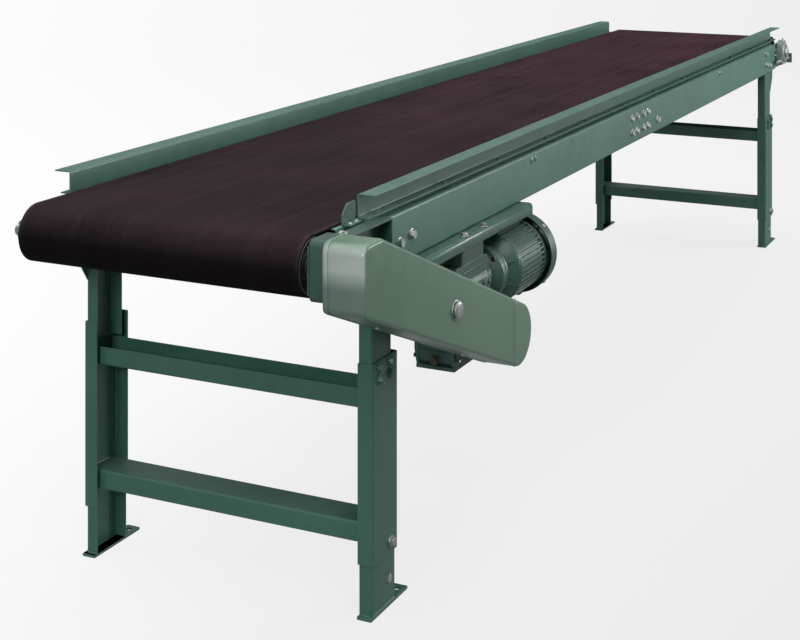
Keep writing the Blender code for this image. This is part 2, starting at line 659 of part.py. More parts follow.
def guard_outline(grow=0):
    return [point for point, _ in loop_path([(x, z, r + grow, 1) for x, z, r in GUARD_CORNERS])]


def build_chain_guard():
    loops = [guard_outline(), circle(DRIVE_X, SHAFT_Z, GUARD_HOLE_R, 24),
             circle(REDUCER_X, REDUCER_Z, GUARD_HOLE_R, 24)]
    finish(prism(loops, "Y", GUARD_IN - GUARD_BACK_T, GUARD_IN), "chain_guard_back", "guard")
    cover = prism([guard_outline()], "Y", GUARD_OUT, GUARD_IN - GUARD_BACK_T - GAP)
    boolean(cover, "DIFFERENCE",
            prism([guard_outline(-GUARD_T)], "Y", GUARD_OUT + GUARD_T, GUARD_IN + 10))
    finish(cover, "chain_guard_cover", "guard", origin=(DRIVE_X, GUARD_OUT, SHAFT_Z))


def mount_outline(inset):
    """Side view of the box: full height round the shaft, stepped down towards the bed."""
    x1, low_top = MOUNT_X1 - inset, MOUNT_LOW_TOP - inset
    high_x, low_x = MOUNT_STEP_X
    corner_x, corner_r = MOUNT_X0 + MOUNT_CORNER, MOUNT_CORNER - inset
    return ([(x1, MOUNT_Z0 + inset), (x1, low_top), (low_x - inset * 0.4, low_top),
             (high_x - inset, MOUNT_TOP - inset)]
            + arc(corner_x, MOUNT_TOP - MOUNT_CORNER, corner_r, 90, 180, 4)
            + arc(corner_x, MOUNT_Z0 + MOUNT_CORNER, corner_r, 180, 270, 4))


def build_guard_mount():
    mount = prism([mount_outline(0)], "Y", GUARD_IN + GAP, -FRAME_HALF - GAP)
    # hollow it from the guard side and open the shaft hole
    boolean(mount, "DIFFERENCE",
            prism([mount_outline(3.5)], "Y", GUARD_IN - 10, -FRAME_HALF - 4.3),
            rod(GUARD_HOLE_R, -370, -320, "Y", DRIVE_CENTRE, 24, 0.5))
    # strip along the -X face, reaching inwards past the frame's outer face
    boolean(mount, "UNION",
            box(MOUNT_X0 + 0.02, MOUNT_X0 + 3.4, -FRAME_HALF - 3.0, -326.0,
                MOUNT_Z0 + MOUNT_CORNER, MOUNT_TOP - MOUNT_CORNER))
    finish(mount, "guard_mount", "paint")


build_bed_channels()
build_pans()
build_splices_and_ties()
build_guard_rails()
build_belt()
build_pulleys_and_rollers()
for side_label, side_sign in SIDES:
    build_drive_end(side_label, side_sign)
    build_tail_plate(side_label, side_sign)
    build_takeup(side_label, side_sign)
build_supports()
build_gearmotor_base()
build_reducer_housing()
build_gears()
build_motor()
build_chain_drive()
build_chain_guard()
build_guard_mount()
bpy.context.view_layer.update()
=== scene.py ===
import math
import random
import bpy
import bmesh
from mathutils import Matrix, Vector
from mathutils.geometry import tessellate_polygon


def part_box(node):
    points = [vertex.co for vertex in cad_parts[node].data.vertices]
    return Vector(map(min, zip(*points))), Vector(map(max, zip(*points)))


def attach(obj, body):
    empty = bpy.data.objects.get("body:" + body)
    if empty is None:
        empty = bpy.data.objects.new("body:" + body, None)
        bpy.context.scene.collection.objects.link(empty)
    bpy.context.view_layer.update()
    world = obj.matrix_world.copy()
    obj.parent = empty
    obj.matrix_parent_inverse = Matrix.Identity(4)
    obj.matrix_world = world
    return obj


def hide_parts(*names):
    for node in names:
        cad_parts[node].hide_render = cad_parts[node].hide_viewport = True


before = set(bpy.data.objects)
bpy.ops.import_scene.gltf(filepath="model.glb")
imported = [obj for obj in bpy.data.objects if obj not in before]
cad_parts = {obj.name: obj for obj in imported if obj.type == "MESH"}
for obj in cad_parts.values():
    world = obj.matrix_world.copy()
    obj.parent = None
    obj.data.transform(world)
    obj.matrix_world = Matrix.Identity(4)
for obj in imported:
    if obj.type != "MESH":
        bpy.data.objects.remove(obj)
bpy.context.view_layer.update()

MM = 0.001
rnd = random.Random(7)

# Conveyor coordinates in millimetres: x from the bed's middle, y from the centre line, z from the floor.
_a, _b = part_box("drive_pulley")
_c, _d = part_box("conveyor_belt")
DRIVE_X = -1842.0
OX = (_a.x + _b.x) / 2 / MM - DRIVE_X
OY = (_c.y + _d.y) / 2 / MM


def ext_of(node):
    lo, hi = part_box(node)
    return (lo.x / MM - OX, hi.x / MM - OX, lo.y / MM - OY, hi.y / MM - OY, lo.z / MM, hi.z / MM)


_t = ext_of("tail_shaft")
TAIL_X = (_t[0] + _t[1]) / 2
SHAFT_Z = (_t[4] + _t[5]) / 2
BELT_TOP = _d.z / MM
_w = ext_of("worm_wheel_shaft")
RED_X, RED_Z = (_w[0] + _w[1]) / 2, (_w[4] + _w[5]) / 2
_w = ext_of("worm_shaft")
WORM_Y, WORM_Z = (_w[2] + _w[3]) / 2, (_w[4] + _w[5]) / 2
BELT_T, BELT_HALF = 4.9, 304.0
PULLEY_R, PULLEY_HALF, SHAFT_R = 50.6, 304.5, 12.7
FRAME_HALF = 330.0
CH_Z0, CH_Z1, CH_T, CH_FL = 637.4, 739.0, 3.4, 38.0
ROLL_R = 24.0
ROLL_Z = 670.7
SNUB_DRIVE_X, RETURN_X, SNUB_TAIL_X = -1676.0, 170.0, 1560.0
LEG_X, LEG_W, LEG_FL, LEG_T = 1606.0, 108.0, 32.0, 3.4
CHAIN_Y, PITCH = -404.35, 15.875
SPL_Y = FRAME_HALF - CH_T - 0.3
TAU = 2 * math.pi


# ------------------------------------------------------------------ plane outlines
def arc(cx, cy, r, a0, a1, n):
    return [(cx + r * math.cos(math.radians(a0 + (a1 - a0) * i / n)),
             cy + r * math.sin(math.radians(a0 + (a1 - a0) * i / n))) for i in range(n + 1)]


def circle(cx, cy, r, n=40):
    return arc(cx, cy, r, 0, 360, n)[:-1]


def slot2(cx, cy, r, half, ang=0.0, n=10):
    """Long hole: ends a distance half from the centre, turned by ang degrees."""
    c, s = math.cos(math.radians(ang)), math.sin(math.radians(ang))
    pts = arc(half, 0, r, -90, 90, n) + arc(-half, 0, r, 90, 270, n)
    return [(cx + a * c - b * s, cy + a * s + b * c) for a, b in pts]


def rrect(x0, x1, y0, y1, r, n=6):
    return (arc(x1 - r, y1 - r, r, 0, 90, n) + arc(x0 + r, y1 - r, r, 90, 180, n)
            + arc(x0 + r, y0 + r, r, 180, 270, n) + arc(x1 - r, y0 + r, r, 270, 360, n))


def rpoly(pts, radii, n=6):
    """Polygon with rounded corners; radii is a number or a list."""
    out = []
    m = len(pts)
    if not isinstance(radii, (list, tuple)):
        radii = [radii] * m
    for i in range(m):
        p = Vector(pts[i])
        r = radii[i]
        if r <= 0:
            out.append(tuple(p))
            continue
        a = (Vector(pts[i - 1]) - p).normalized()
        b = (Vector(pts[(i + 1) % m]) - p).normalized()
        half = math.acos(max(-1, min(1, a.dot(b)))) / 2
        k = r / math.tan(half)
        c = p + (a + b).normalized() * (r / math.sin(half))
        u, v = p + a * k - c, p + b * k - c
        t0 = math.atan2(u.y, u.x)
        dt = (math.atan2(v.y, v.x) - t0 + math.pi) % TAU - math.pi
        for j in range(n + 1):
            t = t0 + dt * j / n
            out.append((c.x + r * math.cos(t), c.y + r * math.sin(t)))
    return out


def sheet(pts, t, rm, seg=8):
    """Outline of a bent sheet of thickness t along a middle line, bend radius rm."""
    out = []
    n = len(pts)
    P = [Vector(p) for p in pts]
    for i in range(n):
        if i in (0, n - 1):
            d = (P[1] - P[0] if i == 0 else P[-1] - P[-2]).normalized()
            out.append((P[i], Vector((-d.y, d.x))))
            continue
        d1, d2 = (P[i] - P[i - 1]).normalized(), (P[i + 1] - P[i]).normalized()
        turn = math.atan2(d1.x * d2.y - d1.y * d2.x, d1.dot(d2))
        s = 1 if turn > 0 else -1
        a = P[i] - d1 * (rm * math.tan(abs(turn) / 2))
        n1 = Vector((-d1.y, d1.x))
        c = a + n1 * (s * rm)
        for j in range(seg + 1):
            th = turn * j / seg
            nn = Vector((n1.x * math.cos(th) - n1.y * math.sin(th), n1.x * math.sin(th) + n1.y * math.cos(th)))
            out.append((c - nn * (s * rm), nn))
    left = [tuple(p + m * (t / 2)) for p, m in out]
    right = [tuple(p - m * (t / 2)) for p, m in out]
    return left + right[::-1]


def loop_path(circles, seg=14, straight=0.0):
    """Points and outward normals of a band round circles (x, z, r, side)."""
    n = len(circles)
    ang = []
    for i in range(n):
        x1, z1, r1, s1 = circles[i]
        x2, z2, r2, s2 = circles[(i + 1) % n]
        L = math.hypot(x2 - x1, z2 - z1)
        ang.append(math.atan2(z2 - z1, x2 - x1) + math.asin((s1 * r1 - s2 * r2) / L))
    out = []
    for i in range(n):
        x, z, r, s = circles[i]
        a0, a1 = ang[i - 1], ang[i]
        d = (a1 - a0) % TAU if s > 0 else -((a0 - a1) % TAU)
        k = max(2, int(abs(d) / math.pi * seg) + 1)
        first = None
        for j in range(k + 1):
            a = a0 + d * j / k
            nx, nz = math.sin(a), -math.cos(a)
            q = ((x + s * r * nx, z + s * r * nz), (nx, nz))
            if j == 0 and out and straight:
                (px, pz), pn = out[-1]
                L = math.hypot(q[0][0] - px, q[0][1] - pz)
                m = int(L / straight)
                for t in range(1, m):
                    out.append(((px + (q[0][0] - px) * t / m, pz + (q[0][1] - pz) * t / m), q[1]))
            out.append(q)
    return out


def offset(path, d):
    return [(p[0] + n[0] * d, p[1] + n[1] * d) for p, n in path]


def mir(pts):
    return [(-a, b) for a, b in pts][::-1]


# ------------------------------------------------------------------ solids
class Shape:
    """Closed shells in conveyor millimetres, collected before they become one mesh."""

    def __init__(self):
        self.v, self.f, self.uv = [], [], None

    def add(self, verts, faces):
        b = len(self.v)
        self.v += [tuple(p) for p in verts]
        self.f += [tuple(b + i for i in q) for q in faces]
        return self

    def move(self, m):
        out = Shape()
        out.v = [tuple(m @ Vector(p)) for p in self.v]
        out.f = list(self.f)
        return out

    def join(self, other):
        return self.add(other.v, other.f)


def _at(axis, a, b, c):
    return (c, a, b) if axis == "X" else (a, c, b) if axis == "Y" else (a, b, c)


def extrude(s, loops, axis, lo, hi):
    if not isinstance(loops[0][0], (tuple, list)):
        loops = [loops]
    flat = [p for l in loops for p in l]
    n = len(flat)
    verts = [_at(axis, a, b, lo) for a, b in flat] + [_at(axis, a, b, hi) for a, b in flat]
    faces = []
    k = 0
    for l in loops:
        m = len(l)
        for i in range(m):
            j = (i + 1) % m
            faces.append((k + i, k + j, k + j + n, k + i + n))
        k += m
    if len(loops) == 1:
        faces += [tuple(range(n - 1, -1, -1)), tuple(range(n, 2 * n))]
    else:
        for t in tessellate_polygon([[Vector((a, b, 0)) for a, b in l] for l in loops]):
            faces += [tuple(t)[::-1], tuple(i + n for i in t)]
    return s.add(verts, faces)


def skin(s, rings, caps=True, close=False):
    """Rings of equal length joined in order."""
    n = len(rings[0])
    verts = [p for r in rings for p in r]
    faces = []
    m = len(rings)
    for i in range(m if close else m - 1):
        a, b = i * n, ((i + 1) % m) * n
        for j in range(n):
            k = (j + 1) % n
            faces.append((a + j, a + k, b + k, b + j))
    if caps and not close:
        faces += [tuple(range(n - 1, -1, -1)), tuple(range((m - 1) * n, m * n))]
    return s.add(verts, faces)


def basis(c, d, up=None):
    d = Vector(d).normalized()
    u = Vector(up) if up else (Vector((0, 0, 1)) if abs(d.z) < 0.9 else Vector((1, 0, 0)))
    x = u.cross(d).normalized()
    y = d.cross(x)
    m = Matrix((x, y, d)).transposed().to_4x4()
    m.translation = Vector(c)
    return m


AX = {"X": (1, 0, 0), "Y": (0, 1, 0), "Z": (0, 0, 1)}


def lathe(s, prof, d, c, steps=48, up=None):
    """Turned solid; prof = (radius, height along d) from axis to axis, or a closed loop off the axis."""
    m = basis(c, AX.get(d, d) if isinstance(d, str) else d, up)
    verts, rings = [], []
    for r, h in prof:
        if r < 1e-6:
            rings.append([len(verts)])
            verts.append(m @ Vector((0, 0, h)))
        else:
            rings.append(list(range(len(verts), len(verts) + steps)))
            verts += [m @ Vector((r * math.cos(TAU * k / steps), r * math.sin(TAU * k / steps), h))
                      for k in range(steps)]
    faces = []
    pairs = list(zip(rings, rings[1:]))
    if len(rings[0]) > 1:
        pairs.append((rings[-1], rings[0]))
    for a, b in pairs:
        for k in range(steps):
            j = (k + 1) % steps
            if len(a) == 1 and len(b) == 1:
                break
            if len(a) == 1:
                faces.append((a[0], b[j], b[k]))
            elif len(b) == 1:
                faces.append((a[k], a[j], b[0]))
            else:
                faces.append((a[k], a[j], b[j], b[k]))
    return s.add(verts, faces)


def fillet(prof, radii, n=5):
    """Rounds the corners of an open (r, h) profile; radii is one number or a list."""
    out = []
    m = len(prof)
    if not isinstance(radii, (list, tuple)):
        radii = [radii] * m
    for i, p in enumerate(prof):
        r = radii[i]
        if i in (0, m - 1) or r <= 0:
            out.append(tuple(p))
            continue
        P, A, B = Vector(p), Vector(prof[i - 1]), Vector(prof[i + 1])
        a, b = (A - P), (B - P)
        la, lb = a.length, b.length
        a.normalize()
        b.normalize()
        half = math.acos(max(-0.9999, min(0.9999, a.dot(b)))) / 2
        k = min(r / math.tan(half), la * 0.48, lb * 0.48)
        rr = k * math.tan(half)
        c = P + (a + b).normalized() * (rr / math.sin(half))
        u, v = P + a * k - c, P + b * k - c
        t0 = math.atan2(u.y, u.x)
        dt = (math.atan2(v.y, v.x) - t0 + math.pi) % TAU - math.pi
        for j in range(n + 1):
            t = t0 + dt * j / n
            out.append((c.x + rr * math.cos(t), c.y + rr * math.sin(t)))
    return out


def rod(s, r, lo, hi, d, c, ch=1.0, steps=40):
    return lathe(s, fillet([(0, lo), (r, lo), (r, hi), (0, hi)], [0, ch, ch, 0], 3), d, c, steps)


def hexa(s, c, d, af, h, spin=0.0, chamfer=True):
    """Hexagon head or nut standing on c, with its corners chamfered."""
    m = basis(c, d)
    R = af / 2 / math.cos(math.pi / 6)
    rings = []
    levels = ((0, 1.0), (h * 0.80, 1.0), (h, 0.86)) if chamfer else ((0, 1.0), (h, 1.0))
    for z, k in levels:
        ring = []
        for i in range(12):
            a = spin + i * math.pi / 6
            r = R if i % 2 == 0 else R * math.cos(math.pi / 6)
            if k < 1:
                r = min(r, R * k)
            ring.append(m @ Vector((r * math.cos(a), r * math.sin(a), z)))
        rings.append(ring)
    return skin(s, rings)


def bolt(s, c, d, af=17.0, h=7.0, wr=12.0, wt=2.0, stud=0.0, sr=5.0):
    """Washer and hexagon head, with the thread end standing out when stud is more than 0."""
    d = Vector(d).normalized()
    c = Vector(c)
    if wr:
        lathe(s, fillet([(0, -0.4), (wr, -0.4), (wr, wt), (0, wt)], [0, 0.2, 0.6, 0], 2), d, c, 32)
    hexa(s, c + d * (wt - 0.05 if wr else 0), d, af, h, rnd.uniform(0, 1.05))
    if stud:
        prof = [(0, -0.3)]
        z = 0.0
        while z < stud - 1.4:
            prof += [(sr, z), (sr - 0.55, z + 0.7)]
            z += 1.4
        prof += [(sr - 0.2, stud - 0.6), (sr - 1.0, stud), (0, stud)]
        lathe(s, prof, d, c + d * (wt + h - 0.05), 20)
    return s


def dome(s, c, d, r, h, steps=28, recess=0.0):
    """Round head: dome on a short edge, with a round recess when asked."""
    e = h * 0.25
    prof = [(0, -0.3), (r, -0.3), (r, e)]
    R = (r * r + (h - e) ** 2) / (2 * (h - e))
    a1 = math.asin(min(1, r / R))
    for i in range(1, 8):
        a = a1 * (1 - i / 8)
        prof.append((R * math.sin(a), h - R + R * math.cos(a)))
    if recess:
        prof += [(recess, h - 0.2), (recess, h * 0.35), (0, h * 0.35)]
        prof = [p for i, p in enumerate(prof) if i < 3 or p[0] > recess - 1e-6 or i >= len(prof) - 1]
    else:
        prof.append((0, h))
    return lathe(s, prof, d, c, steps)


def tube(s, pts, r, seg=12, radii=None):
    pts = [Vector(p) for p in pts]
    rings = []
    n = None
    for i, p in enumerate(pts):
        t = (pts[min(i + 1, len(pts) - 1)] - pts[max(i - 1, 0)]).normalized()
        if n is None:
            n = t.orthogonal().normalized()
        n = (n - t * n.dot(t)).normalized()
        b = t.cross(n)
        rr = radii[i] if radii else r
        rings.append([p + (n * math.cos(TAU * k / seg) + b * math.sin(TAU * k / seg)) * rr for k in range(seg)])
    return skin(s, rings)


def weld(s, p0, p1, r=3.0, seg=9):
    """Weld bead: a run of overlapping ripples from p0 to p1."""
    p0, p1 = Vector(p0), Vector(p1)
    L = (p1 - p0).length
    m = max(6, int(L / 1.3))
    pts, rad = [], []
    side = (p1 - p0).orthogonal().normalized()
    for i in range(m + 1):
        t = i / m
        end = min(1.0, min(t, 1 - t) * L / (r * 1.2) + 0.15)
        ripple = 0.88 + 0.14 * abs(math.sin(t * L / 3.1 * math.pi / 2 + 0.4))
        pts.append(p0.lerp(p1, t) + side * (0.22 * math.sin(t * L / 11.0)))
        rad.append(r * ripple * end ** 0.5 * rnd.uniform(0.97, 1.03))
    return tube(s, pts, r, seg, rad)


def block(s, x0, x1, y0, y1, z0, z1, r=0.0, axis="Z", n=5):
    pts = {"Z": (x0, x1, y0, y1), "Y": (x0, x1, z0, z1), "X": (y0, y1, z0, z1)}[axis]
    lim = {"Z": (z0, z1), "Y": (y0, y1), "X": (x0, x1)}[axis]
    out = rrect(*pts, r, n) if r else [(pts[0], pts[2]), (pts[1], pts[2]), (pts[1], pts[3]), (pts[0], pts[3])]
    return extrude(s, out, axis, *lim)


# ------------------------------------------------------------------ from solids to pieces
def to_mesh(name, s):
    me = bpy.data.meshes.new(name)
    me.from_pydata([((x + OX) * MM, (y + OY) * MM, z * MM) for x, y, z in s.v], [], s.f)
    bm = bmesh.new()
    bm.from_mesh(me)
    bmesh.ops.recalc_face_normals(bm, faces=bm.faces)
    bm.to_mesh(me)
    bm.free()
    return me


def boolean(ob, shape, op="DIFFERENCE"):
    """Cuts or joins with another set of closed shells and keeps the result as the mesh."""
    cut = bpy.data.objects.new("tool", to_mesh("tool", shape))
    bpy.context.scene.collection.objects.link(cut)
    m = ob.modifiers.new("b", "BOOLEAN")
    m.operation, m.solver, m.object = op, "EXACT", cut
    m.use_self = True
    bpy.context.view_layer.update()
    me = bpy.data.meshes.new_from_object(ob.evaluated_get(bpy.context.evaluated_depsgraph_get()))
    ob.modifiers.clear()
    old = ob.data
    ob.data = me
    bpy.data.meshes.remove(old)
    t = cut.data
    bpy.data.objects.remove(cut, do_unlink=True)
    bpy.data.meshes.remove(t)
    bm = bmesh.new()
    bm.from_mesh(me)
    bmesh.ops.remove_doubles(bm, verts=bm.verts, dist=2e-6)
    bmesh.ops.dissolve_degenerate(bm, edges=bm.edges, dist=1e-6)
    bm.to_mesh(me)
    bm.free()


def bevelled(ob, width, seg=2, angle=32.0):
    m = ob.modifiers.new("edge_round", "BEVEL")
    m.width = width * MM
    m.segments = seg
    m.limit_method = "ANGLE"
    m.angle_limit = math.radians(angle)
    m.use_clamp_overlap = False
    m.harden_normals = True
    m.miter_outer = "MITER_ARC"
    return m


def piece(name, s, body, mat, bevel=0.0, seg=2, angle=32.0, replaces=(), cuts=None, adds=None):
    me = to_mesh(name, s)
    ob = bpy.data.objects.new(name, me)
    bpy.context.scene.collection.objects.link(ob)
    if adds is not None:
        boolean(ob, adds, "UNION")
    if cuts is not None:
        boolean(ob, cuts)
    me = ob.data
    me.name = name
    me.materials.clear()
    me.materials.append(mat)
    me.shade_smooth()
    if bevel:
        bevelled(ob, bevel, seg, angle)
    else:
        me.set_sharp_from_angle(angle=math.radians(angle))
    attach(ob, body)
    if replaces:
        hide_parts(*replaces)
    return ob


def keep(node, mat, bevel=0.8, seg=2, angle=32.0):
    """A CAD node stays as it is and gets its finish and rounded edges."""
    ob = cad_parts[node]
    for i in range(max(1, len(ob.material_slots))):
        if i >= len(ob.material_slots):
            ob.data.materials.append(mat)
        else:
            ob.material_slots[i].material = mat
    ob.data.shade_smooth()
    w = ob.modifiers.new("join", "WELD")
    w.merge_threshold = 0.000002
    if bevel:
        bevelled(ob, bevel, seg, angle)
    else:
        e = ob.modifiers.new("sharp", "EDGE_SPLIT")
        e.split_angle = math.radians(angle)
        e.use_edge_sharp = False
    return ob


# ------------------------------------------------------------------ materials
class Net:
    """Small helper for node trees."""

    def __init__(self, name):
        self.m = bpy.data.materials.new(name)
        self.m.use_nodes = True
        self.t = self.m.node_tree
        self.t.nodes.clear()
        self.out = self.n("ShaderNodeOutputMaterial")
        self.co = self.n("ShaderNodeTexCoord")

    def n(self, kind, **kw):
        node = self.t.nodes.new(kind)
        for k, v in kw.items():
            setattr(node, k, v)
        return node

    def link(self, a, b):
        self.t.links.new(a, b)
        return b.node

    def setv(self, sock, v):
        if isinstance(v, bpy.types.NodeSocket):
            self.t.links.new(v, sock)
        elif isinstance(v, (tuple, list)) and len(v) == 3 and sock.type == "RGBA":
            sock.default_value = (*v, 1)
        else:
            sock.default_value = v

    def mapping(self, src=None, scale=(1, 1, 1), loc=(0, 0, 0), rot=(0, 0, 0)):
        n = self.n("ShaderNodeMapping")
        n.inputs["Scale"].default_value = scale
        n.inputs["Location"].default_value = loc
        n.inputs["Rotation"].default_value = rot
        self.link(src or self.co.outputs["Object"], n.inputs["Vector"])
        return n.outputs["Vector"]

    def noise(self, scale, detail=4, rough=0.55, vec=None, dist=0.0, lac=2.0):
        n = self.n("ShaderNodeTexNoise")
        n.inputs["Scale"].default_value = scale
        n.inputs["Detail"].default_value = detail
        n.inputs["Roughness"].default_value = rough
        n.inputs["Lacunarity"].default_value = lac
        n.inputs["Distortion"].default_value = dist
        self.link(vec or self.co.outputs["Object"], n.inputs["Vector"])
        return n.outputs["Fac"]

    def ramp(self, fac, stops, interp="LINEAR"):
        n = self.n("ShaderNodeValToRGB")
        n.color_ramp.interpolation = interp
        e = n.color_ramp.elements
        while len(e) < len(stops):
            e.new(0.5)
        for el, (p, c) in zip(e, stops):
            el.position = p
            el.color = (c, c, c, 1) if isinstance(c, (int, float)) else (*c, 1)
        self.link(fac, n.inputs["Fac"])
        return n.outputs["Color"]

    def math(self, op, a, b=None, c=None, clamp=False):
        n = self.n("ShaderNodeMath", operation=op, use_clamp=clamp)
        for i, v in enumerate((a, b, c)):
            if v is not None:
                self.setv(n.inputs[i], v)
        return n.outputs["Value"]

    def remap(self, v, a0, a1, b0, b1):
        n = self.n("ShaderNodeMapRange")
        n.clamp = True
        self.setv(n.inputs["Value"], v)
        for k, x in zip(("From Min", "From Max", "To Min", "To Max"), (a0, a1, b0, b1)):
            n.inputs[k].default_value = x
        return n.outputs["Result"]

    def mix(self, fac, a, b, blend="MIX"):
        n = self.n("ShaderNodeMix", data_type="RGBA", blend_type=blend)
        self.setv(n.inputs[0], fac)
        self.setv(n.inputs[6], a)
        self.setv(n.inputs[7], b)
        return n.outputs[2]

    def bump(self, height, strength, dist=0.001, normal=None):
        n = self.n("ShaderNodeBump")
        n.inputs["Strength"].default_value = strength
        n.inputs["Distance"].default_value = dist
        self.link(height, n.inputs["Height"])
        if normal is not None:
            self.link(normal, n.inputs["Normal"])
        return n.outputs["Normal"]

    def up(self):
        """1 on faces that look up, 0 on faces that look down."""
        g = self.n("ShaderNodeNewGeometry")
        s = self.n("ShaderNodeSeparateXYZ")
        self.link(g.outputs["Normal"], s.inputs["Vector"])
        return s.outputs["Z"], g

    def edges(self, radius=0.0016, lo=0.02, hi=0.22):
        """Mask of convex edges, from the difference between the rounded and the true normal."""
        b = self.n("ShaderNodeBevel", samples=4)
        b.inputs["Radius"].default_value = radius
        g = self.n("ShaderNodeNewGeometry")
        d = self.n("ShaderNodeVectorMath", operation="DOT_PRODUCT")
        self.link(b.outputs["Normal"], d.inputs[0])
        self.link(g.outputs["Normal"], d.inputs[1])
        inv = self.math("SUBTRACT", 1.0, d.outputs["Value"])
        return self.remap(inv, lo, hi, 0.0, 1.0)

    def principled(self, **kw):
        p = self.n("ShaderNodeBsdfPrincipled")
        for k, v in kw.items():
            self.setv(p.inputs[k.replace("_", " ")], v)
        self.link(p.outputs["BSDF"], self.out.inputs["Surface"])
        return p


def enamel(name, base, light, dark, rough=0.36, wear=0.35, dust=0.08, peel=0.10, cast=False, coat=0.12, spec=0.42, front_highlight=None):
    """Sprayed machine enamel: slow shade drift, fine mottle, orange peel, rubbed edges and settled dust, and optionally
    a painted highlight on faces that look towards -x.
    """
    k = Net(name)
    drift = k.noise(2.2, 3, 0.5)
    mott = k.noise(34.0, 5, 0.62, dist=0.4)
    fine = k.noise(420.0, 3, 0.6)
    runs = k.noise(9.0, 4, 0.6, k.mapping(scale=(1.0, 1.0, 0.12)))
    col = k.mix(k.remap(drift, 0.30, 0.72, 0.0, 1.0), dark, light)
    col = k.mix(0.62, base, col)
    col = k.mix(k.remap(mott, 0.36, 0.70, 0.0, 0.22), col, light)
    col = k.mix(k.remap(runs, 0.46, 0.74, 0.0, 0.24), col, dark)
    col = k.mix(k.remap(fine, 0.60, 0.80, 0.0, 0.10), col, light)
    # rubbed edges: thin paint first, then a few chips down to grey primer
    e = k.edges()
    chip = k.noise(150.0, 4, 0.7, dist=0.8)
    rub = k.math("MULTIPLY", e, k.remap(mott, 0.30, 0.62, 0.35, 1.0))
    pale = tuple(min(1.0, c * 1.75 + 0.035) for c in base)
    col = k.mix(k.math("MULTIPLY", rub, wear), col, pale)
    bare = k.math("MULTIPLY", k.remap(chip, 0.60, 0.66, 0.0, 1.0), k.math("MULTIPLY", e, min(1.0, wear * 1.6)))
    col = k.mix(bare, col, (0.23, 0.235, 0.23))
    if front_highlight:
        # painted highlight: faces that look towards -x are painted pale at the top, fading to a darker grey-green lower
        # down as painted shade
        sx = k.n("ShaderNodeSeparateXYZ")
        k.link(k.n("ShaderNodeNewGeometry").outputs["Normal"], sx.inputs["Vector"])
        sz = k.n("ShaderNodeSeparateXYZ")
        k.link(k.co.outputs["Object"], sz.inputs["Vector"])
        ahead = k.remap(sx.outputs["X"], -0.35, -0.92, 0.0, 1.0)
        high = k.remap(k.math("ADD", sz.outputs["Z"], k.math("MULTIPLY", k.noise(16.0, 4, 0.6), 0.012)), 0.690, 0.722, 0.0, 1.0)
        face = k.mix(high, (0.070, 0.098, 0.086), front_highlight)
        col = k.mix(k.math("MULTIPLY", ahead, k.remap(mott, 0.3, 0.7, 0.80, 1.0)), col, face)
    # dust on what looks up
    up, _ = k.up()
    dmask = k.math("MULTIPLY", k.remap(up, 0.35, 0.98, 0.0, 1.0), k.remap(k.noise(13.0, 6, 0.66), 0.34, 0.72, 0.25, 1.0))
    col = k.mix(k.math("MULTIPLY", dmask, dust), col, (0.36, 0.36, 0.34))
    rg = k.math("ADD", k.remap(mott, 0.3, 0.7, rough - 0.05, rough + 0.08), k.math("MULTIPLY", dmask, 0.18))
    rg = k.math("ADD", rg, k.math("MULTIPLY", bare, 0.2), clamp=True)
    b = k.bump(k.noise(260.0, 2, 0.5), peel, 0.0006)
    b = k.bump(k.noise(14.0, 2, 0.5), 0.10, 0.004, b)
    if cast:
        b = k.bump(k.noise(170.0, 5, 0.7), 0.55, 0.0012, b)
    b = k.bump(k.math("SUBTRACT", 1.0, bare), 0.35, 0.0002, b)
    k.principled(Base_Color=col, Roughness=rg, Normal=b, Specular_IOR_Level=spec,
                 Coat_Weight=coat, Coat_Roughness=0.28, Coat_Normal=b)
    return k.m


def steel(name, base=(0.50, 0.51, 0.51), rough=0.34, brushed=None, stain=(0.16, 0.13, 0.10), stained=0.25, metal=1.0):
    """Bare or zinc-plated steel: spangle, drawn lines, darkened patches."""
    k = Net(name)
    patch = k.noise(22.0, 5, 0.65)
    spangle = k.n("ShaderNodeTexVoronoi")
    spangle.inputs["Scale"].default_value = 420.0
    k.link(k.co.outputs["Object"], spangle.inputs["Vector"])
    sp = spangle.outputs["Color"]
    bw = k.n("ShaderNodeRGBToBW")
    k.link(sp, bw.inputs["Color"])
    col = k.mix(k.remap(bw.outputs["Val"], 0.2, 0.8, 0.0, 0.25), base, tuple(min(1, c * 1.35) for c in base))
    if brushed:
        lines = k.noise(60.0, 3, 0.7, k.mapping(scale=brushed))
        col = k.mix(k.remap(lines, 0.4, 0.65, 0.0, 0.35), col, tuple(c * 0.62 for c in base))
    col = k.mix(k.remap(patch, 0.50, 0.78, 0.0, stained), col, stain)
    e = k.edges(0.0009)
    col = k.mix(k.math("MULTIPLY", e, 0.35), col, (0.72, 0.72, 0.71))
    rg = k.remap(k.noise(90.0, 4, 0.6), 0.3, 0.7, rough - 0.08, rough + 0.14)
    b = k.bump(k.noise(650.0, 3, 0.6), 0.10, 0.0004)
    if brushed:
        b = k.bump(lines, 0.16, 0.0004, b)
    k.principled(Base_Color=col, Metallic=metal, Roughness=rg, Normal=b)
    return k.m


